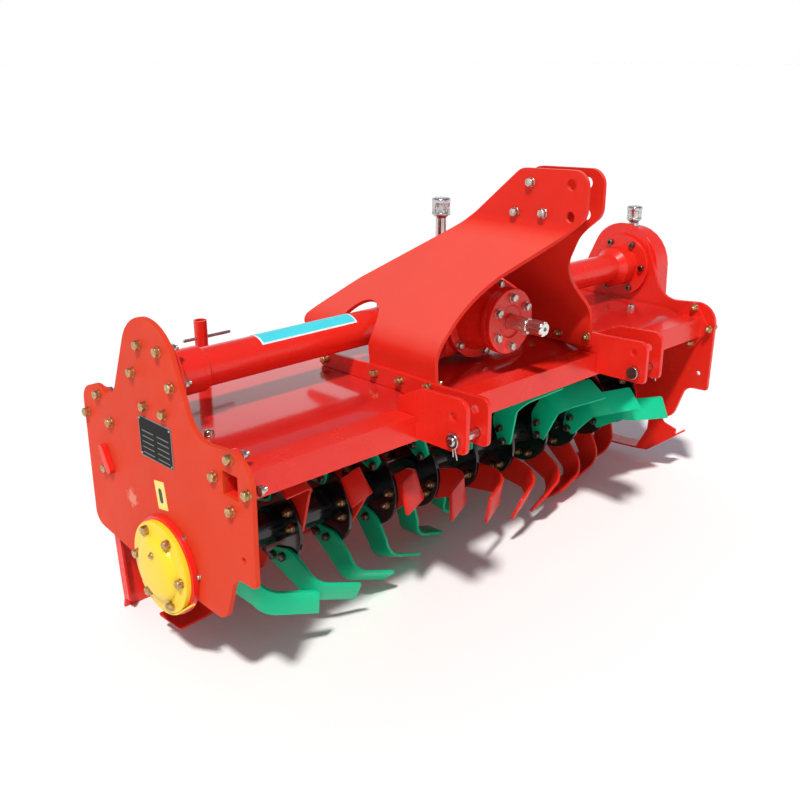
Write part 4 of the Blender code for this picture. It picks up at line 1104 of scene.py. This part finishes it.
class TILLER_OT_cover(bpy.types.Operator):
    """Turn the yellow bearing cover and bolt it down"""
    bl_idname = "tiller.cover"
    bl_label = "Bearing cover"

    def execute(self, context):
        left = (-1, 0, 0)
        sides = parts().disc_sides
        cover = turned_at("cover", COVER_ROWS, sides, (COVER_X, 0, 0), left)
        finished(cover, "turned_cover", "yellow", "frame", ["bearing_cover"])
        ring = turned_at("ring", RING_ROWS, sides, (RING_X, 0, 0), left, hollow=True)
        finished(ring, "turned_ring", "red", "frame", ["bearing_ring"])
        seats = ring_seats((0.0, 0.0), "X", 87.0, 6, 2.0, COVER_BOLTS_X, left)
        fasteners("cover_bolts", "hex_bolt", seats, "gold_zinc")
        plug = turned_at("plug", PLUG_ROWS, 20, PLUG_AT, left)
        finished(plug, "cover_grease_plug", "gold_zinc", "frame")
        return {"FINISHED"}


CASE_FACE = 945.6
CASE_HEAD_REACH = 92.0
CASE_FOOT_REACH = 87.0


def case_seats():
    """Bolts round the chain case's cover: an arc at each end and pairs down its sides."""
    seats = []
    for (y, z), reach, first in ((TUBE_AXIS, CASE_HEAD_REACH, 0), ((0.0, 0.0), CASE_FOOT_REACH, 180)):
        for step in range(6):
            angle = math.radians(first + step * 36)
            seats.append((y + reach * math.cos(angle), z + reach * math.sin(angle)))
    for share in (0.33, 0.67):
        y, z = (share * value for value in TUBE_AXIS)
        reach = CASE_FOOT_REACH + (CASE_HEAD_REACH - CASE_FOOT_REACH) * share
        seats += [(y - reach, z + 2), (y + reach, z - 2)]
    return spot_seats(seats, CASE_FACE, 1)


# Faces of the gearbox and its flanges that bolts stand on, and the input shaft's end
TUBE_FLANGE_X = 134.3
CAP_FACE_Y = -232.0
NOSE_FACE_Y = -128.3
REAR_FACE_Y = 156.3
LID_FACE_Z = 540.3
LID_BOLT_REACH = 62.0
SHAFT_END = (0.0, -336.0, 431.0)
SHAFT_CENTRE_ROWS = ((5.2, 0.0), (5.2, 0.5), (4.6, 0.9), (3.4, 0.9), (1.6, 0.2))


class TILLER_OT_drive_bolts(bpy.types.Operator):
    """Bolt the gearbox, its input and the chain case together"""
    bl_idname = "tiller.drive_bolts"
    bl_label = "Drive bolts"

    def execute(self, context):
        front = (0, -1, 0)
        cap = ring_seats((0.0, 430.0), "Y", 61.0, 6, 90.0, CAP_FACE_Y, front)
        nose = ring_seats((0.0, 431.0), "Y", 100.0, 6, 42.0, NOSE_FACE_Y, front)
        rear = ring_seats((0.0, 431.0), "Y", 66.0, 6, 0.0, REAR_FACE_Y, (0, 1, 0))
        fasteners("input_bolts", "hex_bolt", cap + nose + rear, "white_zinc")
        flange = (TUBE_AXIS, 70.0, 8, 22.5)
        tubes = plate_seats(flange, TUBE_FLANGE_X, 1) + plate_seats(flange, -TUBE_FLANGE_X, -1)
        fasteners("tube_flange_bolts", "hex_bolt", tubes, "white_zinc")
        ends = (-LID_BOLT_REACH, LID_BOLT_REACH)
        lid = [((x, TUBE_AXIS[0] + y, LID_FACE_Z), (0, 0, 1), 10.0) for x in ends for y in ends]
        lid += [(point, (0, 0, 1), 0.0) for point in DECK_BOLTS]
        fasteners("lid_bolts", "hex_bolt", lid, "white_zinc")
        fasteners("case_cover_bolts", "hex_bolt", case_seats(), "gold_zinc")
        # A dark dimpled cap on the shaft's end: painted shade for its centre hole
        centre_hole_shade = turned_at("centre_hole_shade", SHAFT_CENTRE_ROWS, 28, SHAFT_END, front)
        finished(centre_hole_shade, "shaft_centre_hole_shade", "dark_steel_and_shade", "pto")
        return {"FINISHED"}


EAR_PINS = ((-303.0, 776.0), (-261.0, 705.0), (-342.0, 710.0))
FOOT_BOLTS = ((105.0, 328.0), (-78.0, 332.0), (-164.0, 333.0), (-255.0, 341.0))
# Distances from the centreline of the bolt heads and nuts at the ears and the feet
EAR_BOLT_X = 35.0
FOOT_HEAD_X = 313.0
FOOT_NUT_X = 290.6
COLLAR_AT = (382.3, -402.0, 273.0)
COLLAR_ROWS = ((11.3, 0.0), (16.4, 0.0), (17.4, 1.0), (17.4, 9.0), (16.0, 10.6), (12.4, 10.6),
               (11.3, 9.4), (11.3, 0.0))
SPACER_ROWS = ((6.0, -35.5), (6.0, -12.0), (9.0, -12.0), (9.0, 12.0), (6.0, 12.0), (6.0, 35.5))


def make_pin_collar(side):
    """Collar round the tail of a hitch pin, with the split wire that holds it."""
    collar = turned("collar", COLLAR_ROWS, 40, hollow=True)
    collar.data.transform(Matrix.Rotation(math.radians(90 * side), 4, "Y"))
    legs = [turned("leg", [(1.3, -length), (1.7, 0.6 - length), (1.7, 12.0), (1.1, 12.6)], 12)
            for length in (42.0, 36.0)]
    for leg, shift, lean in zip(legs, (-1.9, 1.9), (-14.0, -5.0)):
        turn = Matrix.Rotation(math.radians(lean), 4, "X")
        leg.data.transform(Matrix.Translation(Vector((side * 5.4, shift, 0.0)) * MM) @ turn)
    return joined("pin_collar", [collar] + legs)


class TILLER_OT_hitch_bolts(bpy.types.Operator):
    """Bolt the mast to the hitch plates and pin the lower arms"""
    bl_idname = "tiller.hitch_bolts"
    bl_label = "Hitch and mast bolts"

    def execute(self, context):
        ears = spot_seats(EAR_PINS, -EAR_BOLT_X, -1)
        nuts = spot_seats(EAR_PINS, EAR_BOLT_X, 1)
        feet = spot_seats(FOOT_BOLTS, -FOOT_HEAD_X, -1) + spot_seats(FOOT_BOLTS, FOOT_HEAD_X, 1)
        inner = spot_seats(FOOT_BOLTS, -FOOT_NUT_X, 1) + spot_seats(FOOT_BOLTS, FOOT_NUT_X, -1)
        fasteners("mast_ear_bolts", "hex_bolt", ears, "white_zinc")
        fasteners("mast_ear_nuts", "nut", nuts, "white_zinc")
        fasteners("mast_foot_bolts", "hex_bolt", feet, "gold_zinc")
        fasteners("mast_foot_nuts", "nut", inner, "gold_zinc")
        shank = turned("shank", SPACER_ROWS, 20)
        shanks = on_seats(shank, [((0.0, y, z), (1, 0, 0), 0.0) for y, z in EAR_PINS])
        finished(joined("mast_ear_spacers", shanks), "mast_ear_spacers", "white_zinc", "frame")
        bpy.data.objects.remove(shank)
        collars = []
        for side in (-1, 1):
            collar = make_pin_collar(side)
            collar.data.transform(Matrix.Translation(place(side * COLLAR_AT[0], *COLLAR_AT[1:])))
            collars.append(collar)
        finished(joined("pin_collars", collars), "pin_collars", "chrome", "frame")
        return {"FINISHED"}


def make_breather(name, node):
    """Polished filler tube with a slotted cap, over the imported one."""
    low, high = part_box(node)
    middle = (low + high) / 2
    height = (high.z - low.z) / MM
    neck = height - 50.0
    rows = [(16.0, 0.0), (16.0, 10.0), (15.0, 12.0), (13.6, 12.0), (13.6, neck), (14.6, neck + 1),
            (22.4, neck + 7), (24.0, neck + 8), (24.0, neck + 13), (22.8, neck + 14), (22.8, neck + 23),
            (22.8, neck + 27), (22.8, neck + 36), (24.0, neck + 37), (24.0, height - 4.0),
            (22.6, height - 1.2), (19.0, height - 0.2), (9.0, height)]
    tube = turned(name, rows, 36)
    edit(tube)
    bpy.ops.mesh.select_mode(type="FACE")
    for band_low, band_high in ((neck + 14, neck + 23), (neck + 27, neck + 36)):
        for index in range(0, 36, 3):
            angle = math.radians((index + 0.5) * 10.0)
            spot = Vector((22.7 * math.cos(angle), 22.7 * math.sin(angle), (band_low + band_high) / 2))
            pick_faces(tube, lambda point, normal: (Vector(point) - spot).length < 1.5)
            bpy.ops.mesh.inset(thickness=0.0006, depth=-0.0022)
    bpy.ops.object.mode_set(mode="OBJECT")
    tube.data.transform(Matrix.Translation(Vector((middle.x, middle.y, low.z))))
    rounded(tube, 0.3, 1, 40)
    return finished(tube, name, "chrome", "frame", [node], smooth=30)


class TILLER_OT_breathers(bpy.types.Operator):
    """Turn the two filler tubes with their slotted caps"""
    bl_idname = "tiller.breathers"
    bl_label = "Breathers"

    def execute(self, context):
        make_breather("turned_gearbox_breather", "gearbox_breather")
        make_breather("turned_case_breather", "case_breather")
        return {"FINISHED"}


def flat_label(centre, width, height, spin, wall, corner, at):
    """A thin plate on the left side plate: a plane with rounded corners, thickened outwards."""
    clear()
    bpy.ops.mesh.primitive_plane_add(size=1.0, location=(0, 0, 0))
    part = bpy.context.object
    bpy.ops.object.mode_set(mode="EDIT")
    bpy.ops.mesh.select_all(action="SELECT")
    bpy.ops.transform.resize(value=(width * MM, height * MM, 1), center_override=(0, 0, 0))
    bpy.ops.mesh.select_mode(type="VERT")
    bpy.ops.mesh.select_all(action="SELECT")
    bpy.ops.mesh.bevel(offset=corner * MM, segments=5, affect="VERTICES")
    bpy.ops.mesh.select_mode(type="FACE")
    bpy.ops.mesh.select_all(action="SELECT")
    extrude((0, 0, wall * MM))
    close_edit()
    rounded(part, min(0.25, wall / 3), 1, 40)
    turn = Matrix(((0, 0, -1, 0), (-1, 0, 0, 0), (0, 1, 0, 0), (0, 0, 0, 1)))
    at_place = Matrix.Translation(place(at, *centre))
    part.data.transform(at_place @ turn @ Matrix.Rotation(math.radians(spin), 4, "Z"))
    return part


TUBE_BAND = (-589.0, -310.0)
BAND_ANGLES = (58.0, 138.0)
BAND_ROWS = 20
# Data plate and stickers: middles as y and z, sizes, and places along X from the side plate outwards
DATA_PLATE_AT = (17.0, 280.0)
DATA_PLATE_SIZE = (130.0, 92.0)
LABEL_X = -852.1
MARK_X = -852.5
RULE_X = -853.0
RIVET_X = -853.3
RIVET_REACH = (59.0, 40.0)


def make_band(low, high, start, end, radius, wall, corner):
    """Part of a sleeve round the cross tube: a plane bent to the tube's radius row by row."""
    clear()
    width = (high - low) * MM
    bpy.ops.mesh.primitive_plane_add(size=1.0, location=(0, 0, 0))
    part = bpy.context.object
    edit(part, "EDGE")
    mesh = bmesh.from_edit_mesh(part.data)
    mesh.faces.ensure_lookup_table()
    step = math.radians(end - start) / BAND_ROWS * radius * MM
    for vert in mesh.verts:
        vert.co = Vector((math.copysign(width / 2, vert.co.x), step if vert.co.y > 0 else 0.0, 0.0))
    for edge in mesh.edges:
        edge.select_set(all(vert.co.y > step / 2 for vert in edge.verts))
    bmesh.update_edit_mesh(part.data)
    for row in range(BAND_ROWS - 1):
        extrude((0, step, 0))
    bpy.ops.mesh.select_mode(type="VERT")
    bpy.ops.mesh.select_all(action="DESELECT")
    mesh = bmesh.from_edit_mesh(part.data)
    top = step * BAND_ROWS
    for vert in mesh.verts:
        on_corner = min(vert.co.y, top - vert.co.y) < step * 0.1
        vert.select_set(on_corner and vert.co.x > 0)
    mesh.select_flush_mode()
    bmesh.update_edit_mesh(part.data)
    bpy.ops.mesh.bevel(offset=min(corner * MM, step * 0.9), segments=4, affect="VERTICES")
    mesh = bmesh.from_edit_mesh(part.data)
    for vert in mesh.verts:
        angle = math.radians(end) - vert.co.y / (radius * MM)
        vert.co = Vector((vert.co.x, radius * MM * math.cos(angle), radius * MM * math.sin(angle)))
    bmesh.update_edit_mesh(part.data)
    close_edit()
    apply_modifier(part, "SOLIDIFY", thickness=wall * MM, offset=0.0)
    part.data.transform(Matrix.Translation(place((low + high) / 2, *TUBE_AXIS)))
    return part


class TILLER_OT_labels(bpy.types.Operator):
    """Add the bare band, the blank data plate and the plain sticker"""
    bl_idname = "tiller.labels"
    bl_label = "Labels"

    def execute(self, context):
        low, high = TUBE_BAND
        start, end = BAND_ANGLES
        border = make_band(low, high, start, end, 43.4, 0.3, 8.0)
        finished(border, "tube_band_border", "border", "frame")
        band = make_band(low + 5, high - 5, start + 6, end - 6, 43.7, 0.3, 6.0)
        finished(band, "tube_band", "band", "frame")
        centre = DATA_PLATE_AT
        plate = flat_label(centre, *DATA_PLATE_SIZE, 0.8, 1.2, 4.0, LABEL_X)
        half_width, half_height = (size * MM / 2 for size in DATA_PLATE_SIZE)
        FINISH["ruled"] = ruled_plate("ruled_data_plate", place(RULE_X, *centre), half_width, half_height)
        finished(plate, "data_plate", "ruled", "frame")
        rivets = turned("rivet", [(2.6, 0.0), (2.6, 0.8), (1.6, 1.6)], 14)
        spots = [(centre[0] + side * RIVET_REACH[0], centre[1] + end * RIVET_REACH[1])
                 for side in (-1, 1) for end in (-1, 1)]
        copies = on_seats(rivets, spot_seats(spots, RIVET_X, -1))
        finished(joined("rivets", copies), "data_plate_rivets", "white_zinc", "frame")
        bpy.data.objects.remove(rivets)
        sticker = flat_label((15.0, 157.0), 40.0, 65.0, 9.5, 0.4, 2.0, LABEL_X)
        finished(sticker, "side_sticker", "sticker", "frame")
        mark = flat_label((16.0, 156.0), 14.0, 34.0, 9.5, 0.2, 6.5, MARK_X)
        finished(mark, "side_sticker_mark", "ink", "frame")
        return {"FINISHED"}


class TILLER_OT_studio(bpy.types.Operator):
    """Add the floor, the lights and the camera"""
    bl_idname = "tiller.studio"
    bl_label = "Studio"

    def execute(self, context):
        add_floor()
        add_world()
        add_lights()
        add_camera()
        return {"FINISHED"}


def add_floor():
    clear()
    bpy.ops.mesh.primitive_plane_add(size=studio().floor_size, location=(0, 0, 0))
    floor = bpy.context.object
    floor.name = "studio_floor"
    floor.data.materials.append(floor_finish())


SKY_LIFT = 0.14
SKY_STOPS = (
    # height, colour
    (0.0, (1.0, 1.0, 1.0)),
    (0.16, (0.98, 0.98, 1.0)),
    (0.42, (0.20, 0.23, 0.28)),
    (1.0, (0.18, 0.21, 0.27)),
)


def add_world():
    """A sky that meets the floor at the horizon, brighter behind the machine and dim overhead."""
    world = bpy.data.worlds.new("studio_world")
    bpy.context.scene.world = world
    world.use_nodes = True
    sky = Graph(world.node_tree)
    axes = sky.axes("Generated")
    height = sky.math("SUBTRACT", axes["Z"], sky.math("MULTIPLY", axes["Y"], SKY_LIFT))
    sky.put(sky.nodes["Background"].inputs["Color"], sky.ramp(height, SKY_STOPS))


def aim(lamp, place_at, target):
    lamp.location = place_at
    lamp.rotation_euler = (Vector(target) - Vector(place_at)).to_track_quat("-Z", "Y").to_euler()


def area_light(name, place_at, target, size, power, color):
    light = bpy.data.lights.new(name, "AREA")
    light.shape = "RECTANGLE"
    light.size, light.size_y = size
    light.energy = power
    light.color = color
    lamp = bpy.data.objects.new(name, light)
    bpy.context.scene.collection.objects.link(lamp)
    aim(lamp, place_at, target)


SUN_FROM = (-2.3, -1.65, 4.2)
SUN_POWER = 3.25
SUN_WIDTH = math.radians(5)
FILL_FROM = (-0.6, -4.6, 1.5)
FILL_SIZE = (3.2, 1.4)
FILL_POWER = 14.0


def add_lights():
    """A broad soft sun from the left and a low fill from the front."""
    scene = bpy.context.scene
    sun = bpy.data.lights.new("soft_sun", "SUN")
    sun.energy = SUN_POWER
    sun.angle = SUN_WIDTH
    sun.color = (1.0, 0.985, 0.96)
    lamp = bpy.data.objects.new("soft_sun", sun)
    scene.collection.objects.link(lamp)
    aim(lamp, SUN_FROM, (0.0, 0.0, 0.0))
    area_light("front_fill", FILL_FROM, (0.0, 0.0, 0.5), FILL_SIZE, FILL_POWER, (1.0, 0.98, 0.95))
    scene.view_settings.view_transform = "Standard"
    scene.view_settings.look = "None"


def add_camera():
    """Camera at the photograph's place and angle, aimed with no roll."""
    settings = studio()
    azimuth, elevation = settings.azimuth, settings.elevation
    backward = Vector((math.sin(azimuth) * math.cos(elevation),
                       -math.cos(azimuth) * math.cos(elevation), math.sin(elevation)))
    camera = bpy.data.objects.new("camera", bpy.data.cameras.new("camera"))
    bpy.context.scene.collection.objects.link(camera)
    camera.data.lens = settings.lens
    camera.data.sensor_width = 36.0
    camera.location = place(*(1000 * value for value in settings.camera_at))
    camera.rotation_euler = backward.to_track_quat("Z", "Y").to_euler()
    bpy.context.scene.camera = camera


class TILLER_PT_panel(bpy.types.Panel):
    """The machine's finishes and pieces"""
    bl_idname = "TILLER_PT_panel"
    bl_label = "Rotary tiller"
    bl_space_type = "VIEW_3D"
    bl_region_type = "UI"
    bl_category = "Tiller"

    def draw(self, context):
        layout = self.layout
        scene = context.scene
        for group in (scene.tiller_paint, scene.tiller_parts, scene.tiller_studio):
            box = layout.box()
            for name in group.__annotations__:
                box.prop(group, name)
        for step in STEPS:
            layout.operator(step.bl_idname)


SETTINGS = (("tiller_paint", TillerPaint), ("tiller_parts", TillerParts), ("tiller_studio", TillerStudio))
STEPS = (
    TILLER_OT_finish_nodes, TILLER_OT_discs, TILLER_OT_tines, TILLER_OT_tine_bolts, TILLER_OT_side_plates,
    TILLER_OT_mast, TILLER_OT_plate_bolts, TILLER_OT_cover, TILLER_OT_drive_bolts, TILLER_OT_hitch_bolts,
    TILLER_OT_breathers, TILLER_OT_labels, TILLER_OT_studio,
)


def register():
    for name, group in SETTINGS:
        bpy.utils.register_class(group)
        setattr(bpy.types.Scene, name, PointerProperty(type=group))
    for step in STEPS:
        bpy.utils.register_class(step)
    bpy.utils.register_class(TILLER_PT_panel)


def unregister():
    bpy.utils.unregister_class(TILLER_PT_panel)
    for step in reversed(STEPS):
        bpy.utils.unregister_class(step)
    for name, group in reversed(SETTINGS):
        delattr(bpy.types.Scene, name)
        bpy.utils.unregister_class(group)


def main():
    """Build every piece in order."""
    register()
    bpy.ops.tiller.finish_nodes()
    bpy.ops.tiller.discs()
    bpy.ops.tiller.tines()
    bpy.ops.tiller.tine_bolts()
    bpy.ops.tiller.side_plates()
    bpy.ops.tiller.mast()
    bpy.ops.tiller.plate_bolts()
    bpy.ops.tiller.cover()
    bpy.ops.tiller.drive_bolts()
    bpy.ops.tiller.hitch_bolts()
    bpy.ops.tiller.breathers()
    bpy.ops.tiller.labels()
    put_away_patterns()
    bpy.ops.tiller.studio()


if __name__ == "__main__":
    main()
